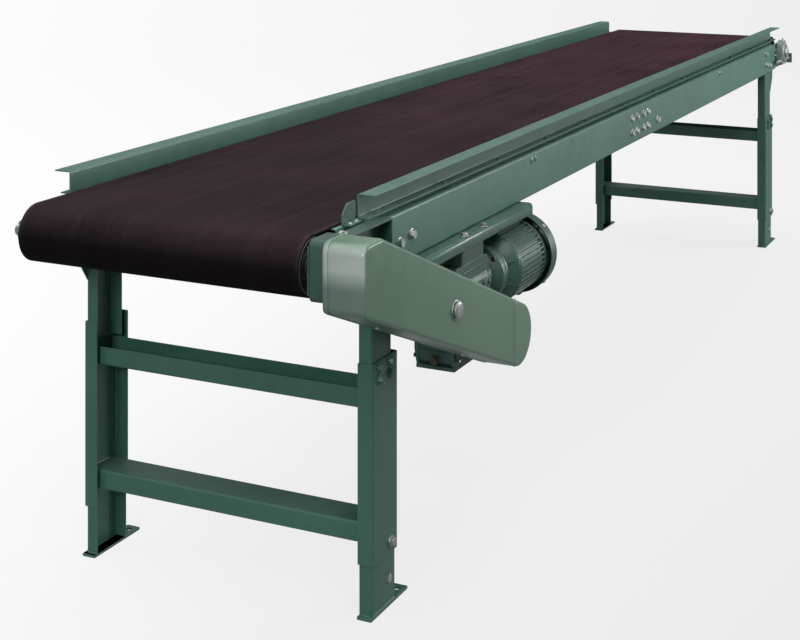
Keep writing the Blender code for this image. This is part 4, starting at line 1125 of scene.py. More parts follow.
# ------------------------------------------------------------------ worm reducer
def reducer():
    h = ext_of("reducer_housing")
    fx0, fx1 = -1322.0, -1136.0
    q = Shape()
    # wheel case between two side covers, with a raised joint flange round each opening
    extrude(q, rrect(fx0 + 3, fx1 - 3, 372, 572, 20, 8), "Y", -341, -263)
    extrude(q, rrect(fx0, fx1, 367.4, 575, 22, 8), "Y", -345.5, -338.5)
    extrude(q, rrect(fx0, fx1, 367.4, 575, 22, 8), "Y", -265.5, -258.5)
    # foot flange under the case
    block(q, fx0 + 2, fx1 - 2, -346, -258, 367, 375.5, 3.0)
    # cooling ribs on the ends
    for z in range(404, 476, 15):
        block(q, fx0 + 0.5, fx0 + 6, -335, -269, z - 2, z + 2)
        block(q, fx1 - 6, fx1 - 0.5, -335, -269, z - 2, z + 2)
    # worm barrel: case tube, bearing bosses, motor flange
    prof = [(0, -1337 + 7), (41, -1337 + 7), (41, -1296), (45.5, -1288), (45.5, -1150), (41, -1138), (41, -1112), (52, -1106),
            (60, -1104), (60, -1085), (0, -1085)]
    lathe(q, fillet(prof, [0, 1.5, 4, 4, 4, 4, 5, 2, 1.5, 1.5, 0], 4), "X", (0, WORM_Y, WORM_Z), 72)
    # webs from the barrel up to the hanging pad
    block(q, -1280, -1160, -347, -267, 556, 560, 6)
    block(q, -1281, -1159, -347.5, -266.5, 619, 631.8, 8)
    for x in (-1274, -1220, -1166):
        block(q, x - 5, x + 5, -343, -271, 540, 622, 1.5)
    for y in (-341, -273):
        block(q, -1276, -1164, y - 3.5, y + 3.5, 555, 622, 1.5)
    ob = piece("reducer_case", q, "bed_frame", M_DRIVE, 1.2, replaces=("reducer_housing",))
    # side covers with the wheel bearings
    q = Shape()
    extrude(q, rrect(fx0 + 7, fx1 - 7, 378, 528, 30, 10), "Y", -351.6, -345.3)
    lathe(q, fillet([(15.6, -345), (56, -345), (56, -353.0), (43, -355.4), (43, -361.4), (31, -361.4), (28.5, -357.8), (15.6, -357.8)],
                    [0, 0, 1.8, 2.4, 1.6, 1, 1, 0], 4), "Y", (RED_X, 0, RED_Z), 72)
    for k in range(8):
        a = TAU * k / 8 + TAU / 16
        block(q, RED_X + 49.5 * math.cos(a) - 1.6, RED_X + 49.5 * math.cos(a) + 1.6, -356, -350,
              RED_Z + 49.5 * math.sin(a) - 1.6, RED_Z + 49.5 * math.sin(a) + 1.6)
    piece("reducer_front_cover", q, "bed_frame", M_DRIVE, 0.8)
    q = Shape()
    extrude(q, rrect(fx0 + 7, fx1 - 7, 378, 528, 30, 10), "Y", -258.7, -252.2)
    lathe(q, fillet([(15.6, -259), (56, -259), (56, -251.0), (43, -249.0), (43, -245.2), (31, -245.2), (28.5, -248), (15.6, -248)],
                    [0, 0, 1.8, 2.4, 1.6, 1, 1, 0], 4), "Y", (RED_X, 0, RED_Z), 72)
    piece("reducer_rear_cover", q, "bed_frame", M_DRIVE, 0.8)
    # worm bearing cap at the free end
    q = Shape()
    lathe(q, fillet([(0, -1337), (20, -1337), (22, -1333.5), (36, -1333.5), (44, -1333.0), (44, -1327), (0, -1327)],
                    [0, 1.5, 1, 1, 2, 1, 0], 4), "X", (0, WORM_Y, WORM_Z), 64)
    piece("reducer_worm_cap", q, "bed_frame", M_DRIVE, angle=35)
    q = Shape()
    for k in range(4):
        a = TAU * k / 4 + 0.785
        hexa(q, (-1333.4, WORM_Y + 33 * math.cos(a), WORM_Z + 33 * math.sin(a)), (-1, 0, 0), 8, 3.4)
    for x, z in ((fx0 + 16, 388), (fx0 + 16, 452), (fx0 + 16, 517), (fx1 - 16, 388), (fx1 - 16, 452), (fx1 - 16, 517),
                 (RED_X - 26, 386), (RED_X + 26, 386), (RED_X - 18, 520), (RED_X + 30, 520)):
        hexa(q, (x, -351.4, z), (0, -1, 0), 9, 4.2, rnd.random())
        hexa(q, (x, -252.4, z), (0, 1, 0), 9, 4.2, rnd.random())
    for k in range(6):
        a = TAU * k / 6 + 0.3
        hexa(q, (RED_X + 37 * math.cos(a), -361.2, RED_Z + 37 * math.sin(a)), (0, -1, 0), 7, 0.6)
    for k in range(4):
        a = TAU * k / 4 + 0.785
        bolt(q, (-1104.0, WORM_Y + 52 * math.cos(a), WORM_Z + 52 * math.sin(a)), (-1, 0, 0), 11, 5.2, 0, 0)
    piece("reducer_bolts", q, "bed_frame", M_DULL, angle=35)
    # oil plugs: vent, level and drain
    q = Shape()
    for c, d, af in (((fx0 + 0.2, -302, 388), (-1, 0, 0), 15), ((fx0 + 0.2, -302, 486), (-1, 0, 0), 15),
                     ((fx1 - 0.2, -302, 392), (1, 0, 0), 15)):
        lathe(q, fillet([(0, -1), (10.5, -1), (10.5, 2.5), (0, 2.5)], [0, 0, 0.8, 0], 3), d, c, 32)
        hexa(q, Vector(c) + Vector(d) * 2.4, d, af, 6.0)
    lathe(q, fillet([(0, 0), (4.5, 0), (4.5, 5), (8.5, 5), (8.5, 13), (5, 16), (0, 16)], [0, 0, 1, 1, 2, 2, 0], 3), "Z",
          (-1303, WORM_Y, 574.6), 32)
    piece("reducer_plugs", q, "bed_frame", M_PLUG, angle=35)


reducer()
keep("worm_wheel_shaft", M_BRONZE, 0.0)
keep("worm_shaft", M_TURNED, 0.0)


# ------------------------------------------------------------------ motor
def motor():
    c = (0, WORM_Y, WORM_Z)
    q = Shape()
    # flange and drive end bell
    prof = [(12.4, -1084.6), (60, -1084.6), (60, -1075), (56, -1073.5), (58, -1068), (72, -1056), (77.5, -1050), (77.5, -1040), (60, -1040), (12.4, -1060)]
    lathe(q, fillet(prof, [0, 1.2, 1.2, 2, 5, 8, 3, 0.5, 0.5, 0], 4), "X", c, 96)
    for k in range(8):
        a = TAU * (k + 0.5) / 8
        m = Matrix.Translation((0, WORM_Y, WORM_Z)) @ Matrix.Rotation(a, 4, "X")
        r = Shape()
        extrude(r, [(60, -1074), (79, -1050), (79, -1044), (55, -1044), (50, -1070)], "Y", -3, 3)
        # outline was (x-like radius, z-like length): swap into place
        rr = Shape()
        rr.v = [(z, y, x) for x, y, z in r.v]
        rr.f = r.f
        q.join(rr.move(m))
    # finned frame
    n = 44
    fin = []
    for k in range(n):
        a0 = TAU * k / n
        for f, r in ((0.0, 75.0), (0.52, 75.0), (0.60, 79.9), (0.92, 79.9)):
            a = a0 + TAU / n * f
            fin.append((WORM_Y + r * math.cos(a), WORM_Z + r * math.sin(a)))
    extrude(q, fin, "X", -1044, -896)
    lathe(q, fillet([(50, -1046), (79.5, -1046), (80, -1040), (50, -1040)], [0, 1.5, 1.5, 0], 3), "X", c, 96)
    lathe(q, fillet([(50, -902), (80, -902), (80, -892), (50, -892)], [0, 1.5, 1.5, 0], 3), "X", c, 96)
    ob = piece("motor_frame", q, "bed_frame", M_MOTOR, 0.5, angle=34, replaces=("motor_body",))
    # fan cover: pressed cup with ring slots in its end, open where it meets the frame
    q = Shape()
    R = 91.0
    outer = fillet([(R, -889.0), (R, -856.0), (84, -841), (70, -836.2), (0, -834.2)], [0, 9, 7, 4, 0], 6)
    inner = fillet([(0, -836.4), (70, -838.4), (82.4, -843), (R - 2, -857.0), (R - 2, -889.0)], [0, 4, 6, 8, 0], 6)
    lathe(q, outer + inner, "X", c, 96)
    lathe(q, fillet([(R - 0.5, -889.4), (R + 0.4, -889.4), (R + 0.4, -884.5), (R - 0.5, -884.5)], 0.3, 2), "X", c, 96)
    cut = Shape()
    for r0, r1 in ((20, 24), (30, 34), (40, 44), (50, 54), (60, 64)):
        for k in range(8):
            a0, a1 = TAU * (k + 0.09) / 8, TAU * (k + 0.91) / 8
            m = 8
            pts = [(WORM_Y + r1 * math.cos(a0 + (a1 - a0) * i / m), WORM_Z + r1 * math.sin(a0 + (a1 - a0) * i / m)) for i in range(m + 1)]
            pts += [(WORM_Y + r0 * math.cos(a1 - (a1 - a0) * i / m), WORM_Z + r0 * math.sin(a1 - (a1 - a0) * i / m)) for i in range(m + 1)]
            extrude(cut, pts, "X", -842, -828)
    piece("motor_fan_cover", q, "bed_frame", M_MOTOR, 0.0, angle=34, cuts=cut)
    # fan behind the grille
    q = Shape()
    lathe(q, fillet([(12.4, -878), (22, -878), (22, -862), (74, -858), (74, -856), (12.4, -856)], [0, 1, 4, 0.5, 0.5, 0], 3), "X", c, 64)
    for k in range(9):
        m = Matrix.Translation((0, WORM_Y, WORM_Z)) @ Matrix.Rotation(TAU * k / 9, 4, "X")
        r = Shape()
        block(r, -880, -857, -1.2, 1.2, 20, 76)
        q.join(r.move(m))
    piece("motor_fan", q, "motor_rotor", M_DULL, 0.3)
    # flange bolts and the cover's screws
    q = Shape()
    for k in range(4):
        a = TAU * k / 4 + 0.785
        y, z = math.cos(a), math.sin(a)
        hexa(q, (-1073.6, WORM_Y + 51 * y, WORM_Z + 51 * z), (1, 0, 0), 10, 4.6)
        dome(q, (-870, WORM_Y + R * y, WORM_Z + R * z), (0, y, z), 4.6, 2.6, 16)
    piece("motor_bolts", q, "bed_frame", M_ZINC, angle=35)
    # connection box on the side away from the walkway, with its cable entry
    q = Shape()
    block(q, -1004, -926, -232, -222, 486, 548, 5, "Y")
    block(q, -1010, -920, -223, -190, 480, 554, 7, "Y")
    piece("motor_box", q, "bed_frame", M_MOTOR, 1.0)
    q = Shape()
    block(q, -1011.5, -918.5, -190.2, -186.2, 478.5, 555.5, 8, "Y")
    piece("motor_box_lid", q, "bed_frame", M_MOTOR, 0.8)
    q = Shape()
    for x in (-1003, -927):
        for z in (487, 547):
            dome(q, (x, -186.4, z), (0, 1, 0), 4.2, 2.6, 18)
    lathe(q, fillet([(0, 0), (11, 0), (11, 4), (9, 5), (9, 10), (12, 11), (12, 19), (8, 21), (0, 21)], [0, 0, .5, .5, .5, 1, 1, 1, 0], 2), (0, 0, -1),
          (-965, -206, 480.5), 32)
    piece("motor_box_fittings", q, "bed_frame", M_ZINC, angle=35)
    # drip lug under the fan cover
    q = Shape()
    block(q, -884, -862, WORM_Y - 9, WORM_Y + 9, WORM_Z - R - 8, WORM_Z - R + 3, 3)
    piece("motor_drain_lug", q, "bed_frame", M_MOTOR, 1.0)


motor()


# ------------------------------------------------------------------ sprockets and roller chain
def sprocket(name, node, teeth, cx, cz, bore, hub_r, body):
    pr = PITCH / (2 * math.sin(math.pi / teeth))
    root = 5.2
    pts = []
    for k in range(teeth):
        a = TAU * (k + 0.5) / teeth
        # roller seat between tooth k and the next one, then the flanks up to the tip
        cxp, cyp = pr * math.cos(a), pr * math.sin(a)
        half = TAU / teeth / 2
        seat = []
        for j in range(9):
            t = math.radians(-62 + 124 * j / 8)
            ang = a + math.pi + t
            seat.append((cxp + root * math.cos(ang), cyp + root * math.sin(ang)))
        seat = seat[::-1]
        tip = [((pr + 4.2) * math.cos(a - half + half * f), (pr + 4.2) * math.sin(a - half + half * f)) for f in (0.0, 0.16)]
        mid = [((pr + 1.8) * math.cos(a - half * 0.66), (pr + 1.8) * math.sin(a - half * 0.66))]
        mid2 = [((pr + 1.8) * math.cos(a + half * 0.66), (pr + 1.8) * math.sin(a + half * 0.66))]
        tip2 = [((pr + 4.2) * math.cos(a + half - half * 0.16), (pr + 4.2) * math.sin(a + half - half * 0.16))]
        seat.sort(key=lambda p: (math.atan2(p[1], p[0]) - a + math.pi) % TAU)
        pts += tip + mid + seat + mid2 + tip2
    q = Shape()
    extrude(q, [[(cx + x, cz + z) for x, z in pts], circle(cx, cz, bore, 40)], "Y", CHAIN_Y - 2.6, CHAIN_Y + 2.6)
    piece(name + "_teeth", q, body, M_TURNED, 0.35, replaces=(node,))
    q = Shape()
    lathe(q, fillet([(bore, CHAIN_Y - 2.9), (hub_r - 3, CHAIN_Y - 2.9), (hub_r, CHAIN_Y + 2.5), (hub_r, -384.2), (bore, -384.2)],
                    [0, 0.5, 0.5, 1.2, 0], 3), "Y", (cx, 0, cz), 56)
    hexa(q, (cx, -391.5, cz + hub_r - 0.4), (0, 0, 1), 5.0, 1.4)
    piece(name + "_hub", q, body, M_TURNED, angle=32)
    return pr


pr1 = sprocket("driven_sprocket", "driven_sprocket", 18, DRIVE_X, SHAFT_Z, SHAFT_R + 0.3, 28.0, "drive_rotor")
pr2 = sprocket("drive_sprocket", "drive_sprocket", 14, RED_X, RED_Z, 15.3, 24.5, "reducer_output")


def chain():
    path = offset(loop_path([(DRIVE_X, SHAFT_Z, pr1, 1), (RED_X, RED_Z, pr2, 1)], 60), 0)
    d = [0.0]
    for i in range(1, len(path) + 1):
        a, b = path[i - 1], path[i % len(path)]
        d.append(d[-1] + math.hypot(b[0] - a[0], b[1] - a[1]))
    total = d[-1]
    n = int(round(total / PITCH / 2)) * 2

    def at(t):
        t %= total
        lo, hi = 0, len(d) - 1
        while hi - lo > 1:
            m = (lo + hi) // 2
            if d[m] <= t:
                lo = m
            else:
                hi = m
        a, b = path[lo % len(path)], path[(lo + 1) % len(path)]
        f = (t - d[lo]) / max(1e-9, d[lo + 1] - d[lo])
        return a[0] + (b[0] - a[0]) * f, a[1] + (b[1] - a[1]) * f

    pins = [at(total * i / n) for i in range(n)]
    plates, rollers = Shape(), Shape()
    for i in range(n):
        (x0, z0), (x1, z1) = pins[i], pins[(i + 1) % n]
        L = math.hypot(x1 - x0, z1 - z0)
        a = math.degrees(math.atan2(z1 - z0, x1 - x0))
        r = 6.3 if i % 2 else 7.1
        out = [(L / 2 + r * math.cos(math.radians(t)), r * math.sin(math.radians(t))) for t in range(-66, 67, 22)]
        out += [(0.0, r * 0.70)] + [(-x, y) for x, y in out[::-1]] + [(0.0, -r * 0.70)]
        ca, sa = math.cos(math.radians(a)), math.sin(math.radians(a))
        cx, cz = (x0 + x1) / 2, (z0 + z1) / 2
        pts = [(cx + x * ca - y * sa, cz + x * sa + y * ca) for x, y in out]
        for s in (-1, 1):
            y = (3.9 if i % 2 else 5.7) * s
            extrude(plates, pts, "Y", CHAIN_Y + y - 0.75, CHAIN_Y + y + 0.75)
        lathe(rollers, [(0, -3.1), (5.05, -3.1), (5.05, 3.1), (0, 3.1)], "Y", (x0, CHAIN_Y, z0), 16)
        lathe(rollers, [(0, -7.0), (2.1, -7.0), (2.5, -6.5), (2.5, 6.5), (2.1, 7.0), (0, 7.0)], "Y", (x0, CHAIN_Y, z0), 12)
    piece("chain_side_plates", plates, "bed_frame", M_CHAIN, angle=35, replaces=("drive_chain",))
    piece("chain_rollers_pins", rollers, "bed_frame", M_CHAIN, angle=35)


chain()


# ------------------------------------------------------------------ chain guard
GUARD_RD, GUARD_RR = 68.7, 64.4
GUARD_CORNERS = [(-1199.0, 425.5, 64.4), (-1848.0, 743.0, 20.0), (-1893.0, 743.0, 20.0), (-1897.0, 652.9, 16.0)]
GB, GC = ext_of("chain_guard_back"), ext_of("chain_guard_cover")
G_IN, G_OUT = GB[3], GC[2]
GX0, GZ0, GX1, GZ1 = DRIVE_X, 688.0, -1199.0, 425.5


def obround(d, seg=40):
    return offset(loop_path([(x, z, r + d, 1) for x, z, r in GUARD_CORNERS], seg, 40.0), 0)


def on_guard(t, v):
    """Point on the guard's face: t along the line of shafts (0 to 1), v across it in mm."""
    dx, dz = GX1 - GX0, GZ1 - GZ0
    L = math.hypot(dx, dz)
    return GX0 + dx * t - dz / L * v, GZ0 + dz * t + dx / L * v


q = Shape()
extrude(q, [obround(0), circle(DRIVE_X, SHAFT_Z, 20, 40), circle(RED_X, RED_Z, 20, 40)], "Y", GB[2], GB[3])
piece("guard_back_plate", q, "bed_frame", M_GUARD, 0.5, replaces=("chain_guard_back",))
q = Shape()
for t, v in ((-0.05, 50), (0.22, 52), (0.5, 52), (0.78, 50), (0.22, -52), (0.5, -52), (0.78, -50), (1.06, 0)):
    x, z = on_guard(t, v)
    block(q, x - 7, x + 7, G_IN - 13, G_IN - 2.6, z - 5, z + 5, 1.0)
piece("guard_back_tabs", q, "bed_frame", M_GUARD, 0.5)

q = Shape()
y0, y1, w, R = GC[3], GC[2], 2.0, 6.5           # open rim, outer face, wall, edge radius
rings = []
for k in range(9):
    a = math.pi / 2 * k / 8
    rings.append([(x, y1 + w + (R - w) * (1 - math.cos(a)), z) for x, z in obround(-R + (R - w) * math.sin(a))])
rings.append([(x, y0 - 0.4, z) for x, z in obround(-w)])
rings.append([(x, y0, z) for x, z in obround(-w + 0.4)])
rings.append([(x, y0, z) for x, z in obround(-0.4)])
rings.append([(x, y0 - 0.4, z) for x, z in obround(0)])
for k in range(11):
    a = math.pi / 2 * (1 - k / 10)
    rings.append([(x, y1 + R * (1 - math.cos(a)), z) for x, z in obround(-R + R * math.sin(a))])
skin(q, rings)
piece("guard_shell", q, "guard_cover", M_GUARD, angle=50, replaces=("chain_guard_cover",))

# folded end cap seam and rim band
q = Shape()
sx = -1227.0
zt = GZ0 + (GZ1 - GZ0) * (sx - GX0) / (GX1 - GX0)
ztop, zbot = zt + 69.6, zt - 69.2
pts = []
for z in [ztop - 9 - (ztop - zbot - 18) * i / 24 for i in range(25)]:
    pts.append((sx, y1 - 0.1, z))
lead = [(sx, y1 + 5.0, ztop - 0.3), (sx, y1 + 1.6, ztop - 2.2)]
tail = [(sx, y1 + 1.6, zbot + 2.2), (sx, y1 + 5.0, zbot + 0.3)]
tube(q, lead + pts + tail, 2.6, 10)
# the seam carries the lighter painted-highlight green
piece("guard_end_seam", q, "guard_cover", M_SEAM, angle=60)

q = Shape()
inner, outer = obround(-0.2), obround(1.1)
r4 = [[(x, y, z) for x, z in lp] for lp, y in ((inner, y0 - 1.0), (outer, y0 - 1.0), (outer, y0 - 7.0), (inner, y0 - 7.0))]
skin(q, r4, caps=False, close=True)
piece("guard_rim_band", q, "guard_cover", M_GUARD, 0.4)

# cover screws: round heads through the side wall into the back plate's tabs
q = Shape()
for t, v in ((0.20, 1), (0.50, 1), (0.80, 1), (0.20, -1), (0.50, -1), (0.80, -1)):
    R_ = GUARD_RD + (GUARD_RR - GUARD_RD) * t
    x, z = on_guard(t, v * R_)
    dx, dz = GX1 - GX0, GZ1 - GZ0
    L = math.hypot(dx, dz)
    dome(q, (x, y0 - 14, z), (-dz / L * v, 0, dx / L * v), 5.6, 3.2, 22, recess=2.0)
piece("guard_screws", q, "guard_cover", M_ZINC, angle=40)

# turn knob that holds the cover, on a washer
q = Shape()
kx, kz = -1535.0, 562.0
lathe(q, fillet([(0, 0.4), (19.5, 0.4), (19.5, -1.6), (0, -1.6)], [0, .3, .8, 0], 2), "Y", (kx, y1, kz), 40)
prof = fillet([(0, -1.4), (13.5, -1.4), (14.5, -3.0), (17.6, -3.6), (18.0, -7.0), (14.0, -9.6), (0, -10.4)], [0, .5, .8, 1, 1.4, 3, 0], 4)
lathe(q, prof, "Y", (kx, y1, kz), 56)
piece("guard_knob", q, "guard_cover", M_ZINC, angle=35)


# ------------------------------------------------------------------ guard mount, lug and rail end plate
g = ext_of("guard_mount")
MX, MF = -1640.0, -1903.0
ML, MB, MT = SHAFT_Z + 50, SHAFT_Z - 48, SHAFT_Z + 61


def mount_side(d):
    """Side view of the box, shrunk by d: full height round the shaft, stepped down towards the bed."""
    return ([(MX - d, MB + d), (MX - d, ML - d), (-1828 - d * 0.4, ML - d), (-1838 - d, MT - d)]
            + arc(MF + 12, MT - 12, 12 - d, 90, 180, 8) + arc(MF + 12, MB + 12, 12 - d, 180, 270, 8))


q = Shape()
extrude(q, mount_side(0), "Y", g[2], -FRAME_HALF - 0.3)
cut = Shape()
extrude(cut, mount_side(3.5), "Y", g[2] - 10, -FRAME_HALF - 4.3)
hole = Shape()
rod(hole, 20, -375, -320, "Y", (DRIVE_X, 0, SHAFT_Z), 0.5, 48)
lip = Shape()
block(lip, MF + 0.02, MF + 3.4, -FRAME_HALF - 3.0, g[3], MB + 12, MT - 12)
# the box is finished in the near-black painted-shade green
ob = piece("guard_mount_box", q, "bed_frame", M_SHADE, 0.0, cuts=cut, replaces=("guard_mount",))
boolean(ob, hole)
boolean(ob, lip, "UNION")
ob.data.shade_smooth()
bevelled(ob, 0.8)

q = Shape()
block(q, -1825, -1799, -352, -338, SHAFT_Z + 49.6, SHAFT_Z + 56.0, 2.5)
bolt(q, (-1812, -345, SHAFT_Z + 55.9), (0, 0, 1), 10, 3.4, 0, 0)
piece("guard_mount_lug", q, "bed_frame", M_ZINC, 0.6)

q = Shape()
pts = rpoly([(-1746, 751.2), (-1694, 751.2), (-1694, 789), (-1728, 789), (-1746, 770)], [2, 0, 4, 10, 6], 6)
extrude(q, pts, "Y", -312.2, -309.4)
block(q, -1744, -1696, -327.5, -309.6, 751.1, 753.9, 2.0)
piece("rail_end_gusset", q, "bed_frame", M_PAINT_LEG, 0.6)
q = Shape()
for x in (-1732, -1708):
    dome(q, (x, -320.0, 753.8), (0, 0, 1), 5.4, 3.0, 20, recess=2.0)
piece("rail_end_screws", q, "bed_frame", M_ZINC, angle=40)


# ------------------------------------------------------------------ tail end: plates, take-up blocks, screws
for side, s in SIDES:
    keep(f"tail_end_plate_{side}", M_PAINT, 0.8)
    body = f"takeup_{side}"
    e = ext_of(f"takeup_block_{side}")
    zl = SHAFT_Z - 45
    q = Shape()
    blk = (arc(TAIL_X, SHAFT_Z, 45, 0, 180, 40)
           + [(TAIL_X - 45, zl + 4), (TAIL_X - 43.8, zl + 1.2), (TAIL_X - 41, zl)]
           + [(TAIL_X + 41, zl), (TAIL_X + 43.8, zl + 1.2), (TAIL_X + 45, zl + 4)])
    blk = blk[:-3] + blk[-3:]
    ya, yb = sorted((s * 330.6, s * 352.0))
    extrude(q, [blk, circle(TAIL_X, SHAFT_Z, SHAFT_R + 0.3, 48)], "Y", ya, yb)
    cut = Shape()
    rod(cut, 6.3, TAIL_X - 60, TAIL_X + 60, "X", (0, s * 346.0, SHAFT_Z - 31.0), 0.5, 32)
    piece(f"takeup_casting_{side}", q, body, M_CAST, 1.0, cuts=cut, replaces=(f"takeup_block_{side}",))
    q = Shape()
    # bearing housing, seal and locking collar round the shaft
    lathe(q, fillet([(SHAFT_R + 0.4, 351.5), (37, 351.5), (37, 354.0), (31, 357.5), (25.5, 357.5), (25.5, 356.0), (SHAFT_R + 0.4, 356.0)],
                    [0, 0, 1.5, 1.5, 0.8, 0.5, 0], 4), (0, s, 0), (TAIL_X, 0, SHAFT_Z), 64)
    piece(f"takeup_bearing_{side}", q, body, M_CAST, angle=35)
    q = Shape()
    # grease fitting on top and two housing bolts
    m = (TAIL_X, s * 346.0, SHAFT_Z + 44.6)
    lathe(q, fillet([(0, -1), (3.6, -1), (3.6, 3), (2.2, 4), (2.2, 5.5), (3.0, 6.5), (1.8, 8.6), (0, 8.6)], [0, 0, .4, .3, .3, .4, .4, 0], 2), "Z", m, 20)
    for dx in (-31, 31):
        hexa(q, (TAIL_X + dx, s * 351.8, SHAFT_Z + 12), (0, s, 0), 10, 4.4)
    piece(f"takeup_fittings_{side}", q, body, M_ZINC, angle=35)
    q = Shape()
    lathe(q, fillet([(SHAFT_R + 0.25, 357.6), (20.5, 357.6), (20.5, 363.0), (SHAFT_R + 0.25, 363.0)], [0, .6, .9, 0], 3), (0, s, 0), (TAIL_X, 0, SHAFT_Z), 48)
    hexa(q, (TAIL_X + 20.2, s * 360.3, SHAFT_Z), (1, 0, 0), 4, 0.8)
    piece(f"tail_collar_{side}", q, "tail_rotor", M_ZINC, angle=35)
    # threaded take-up screw with its hexagon head and nut
    c = (0, s * 346.0, SHAFT_Z - 31.0)
    e = ext_of(f"takeup_screw_{side}")
    prof = [(0, e[0]), (4.8, e[0]), (5.9, e[0] + 1.2)]
    x = e[0] + 1.2
    while x < 1838:
        prof += [(5.95, x + 0.25), (5.2, x + 0.95), (5.2, x + 1.15), (5.95, x + 1.85)]
        x += 2.1
    prof += [(6.0, 1842), (6.0, 1852.6), (0, 1852.6)]
    q = Shape()
    lathe(q, prof, "X", c, 28)
    piece(f"takeup_thread_{side}", q, f"screw_{side}", M_TURNED, angle=25, replaces=(f"takeup_screw_{side}",))
    q = Shape()
    hexa(q, (1852.4, c[1], c[2]), (1, 0, 0), 17.3, 8.4)
    hexa(q, (1838.0, c[1], c[2]), (1, 0, 0), 17.3, 7.2)
    piece(f"takeup_nuts_{side}", q, f"screw_{side}", M_ZINC, angle=35)


# ------------------------------------------------------------------ CAD nodes that stay
for _n, _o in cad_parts.items():
    if _o.hide_render or len(_o.modifiers):
        continue
    _m = M_PAINT
    if "guard" in _n and "rail" not in _n: _m = M_GUARD
    elif _n in ("motor_body",): _m = M_MOTOR
    elif _n in ("reducer_housing",): _m = M_DRIVE
    elif "pulley" in _n or "shaft" in _n: _m = M_TURNED
    keep(_n, _m)


# ------------------------------------------------------------------ floor, light and camera
def backdrop_tone(t):
    """Seen tone of floor and air alike: 0.89 with a slight slope across and up the picture."""
    co = t.nodes.new("ShaderNodeTexCoord")
    sep = t.nodes.new("ShaderNodeSeparateXYZ")
    t.links.new(co.outputs["Window"], sep.inputs["Vector"])

    def madd(a, f, c):
        n = t.nodes.new("ShaderNodeMath")
        n.operation = "MULTIPLY_ADD"
        t.links.new(a, n.inputs[0])
        n.inputs[1].default_value = f
        if isinstance(c, float):
            n.inputs[2].default_value = c
        else:
            t.links.new(c, n.inputs[2])
        return n.outputs["Value"]

    return madd(sep.outputs["Y"], 0.112, madd(sep.outputs["X"], -0.135, FLOOR_TONE))


def stage_floor():
    """Wide pale sheet whose rim curves up out of sight."""
    rings = []
    for r, z in ((0.0, 0.0), (2.0, 0.0), (5.0, 0.0), (12.0, 0.0), (30.0, 0.0), (70.0, 0.0), (90.0, 0.35)):
        rings.append((r, z - 0.0004))
    verts = [(0, 0, rings[0][1])]
    faces = []
    n = 96
    for r, z in rings[1:]:
        verts += [(r * math.cos(TAU * k / n), r * math.sin(TAU * k / n), z) for k in range(n)]
    for k in range(n):
        faces.append((0, 1 + k, 1 + (k + 1) % n))
    for i in range(len(rings) - 2):
        a, b = 1 + i * n, 1 + (i + 1) * n
        for k in range(n):
            j = (k + 1) % n
            faces.append((a + k, b + k, b + j, a + j))
    me = bpy.data.meshes.new("studio_floor")
    me.from_pydata(verts, [], faces)
    ob = bpy.data.objects.new("studio_floor", me)
    bpy.context.scene.collection.objects.link(ob)
    k = Net("studio_sheet")
    lp = k.n("ShaderNodeLightPath")
    # The sheet's tone drifts gently across the picture, brightest towards its upper left.
    soft = k.noise(0.35, 2, 0.5)
    seen = k.mix(k.remap(soft, 0.3, 0.7, 0.0, 0.04), backdrop_tone(k.t), (0.84, 0.84, 0.84))
    glow = k.n("ShaderNodeEmission")
    k.link(seen, glow.inputs["Color"])
    glow.inputs["Strength"].default_value = 1.0
    diff = k.n("ShaderNodeBsdfDiffuse")
    diff.inputs["Color"].default_value = (FLOOR_DIFF, FLOOR_DIFF, FLOOR_DIFF, 1)
    mx = k.n("ShaderNodeMixShader")
    mx.inputs["Fac"].default_value = FLOOR_SHADOW
    k.link(glow.outputs["Emission"], mx.inputs[1])
    k.link(diff.outputs["BSDF"], mx.inputs[2])
    bounce = k.n("ShaderNodeEmission")
    bounce.inputs["Color"].default_value = (0.95, 0.99, 1.0, 1)
    bounce.inputs["Strength"].default_value = FLOOR_BOUNCE
    mx2 = k.n("ShaderNodeMixShader")
    k.link(lp.outputs["Is Camera Ray"], mx2.inputs["Fac"])
    k.link(bounce.outputs["Emission"], mx2.inputs[1])
    k.link(mx.outputs["Shader"], mx2.inputs[2])
    k.link(mx2.outputs["Shader"], k.out.inputs["Surface"])
    me.materials.append(k.m)
    return ob


def area(name, loc, target, size, power, color=(1, 1, 1), sy=None, spread=180):
    ld = bpy.data.lights.new(name, "AREA")
    ld.shape = "RECTANGLE"
    ld.size = size
    ld.size_y = sy or size
    ld.energy = power
    ld.color = color
    ld.spread = math.radians(spread)
    ob = bpy.data.objects.new(name, ld)
    bpy.context.scene.collection.objects.link(ob)
    ob.location = Vector(loc)
    ob.rotation_euler = (Vector(target) - Vector(loc)).to_track_quat("-Z", "Y").to_euler()
    ob.visible_camera = False
    return ob


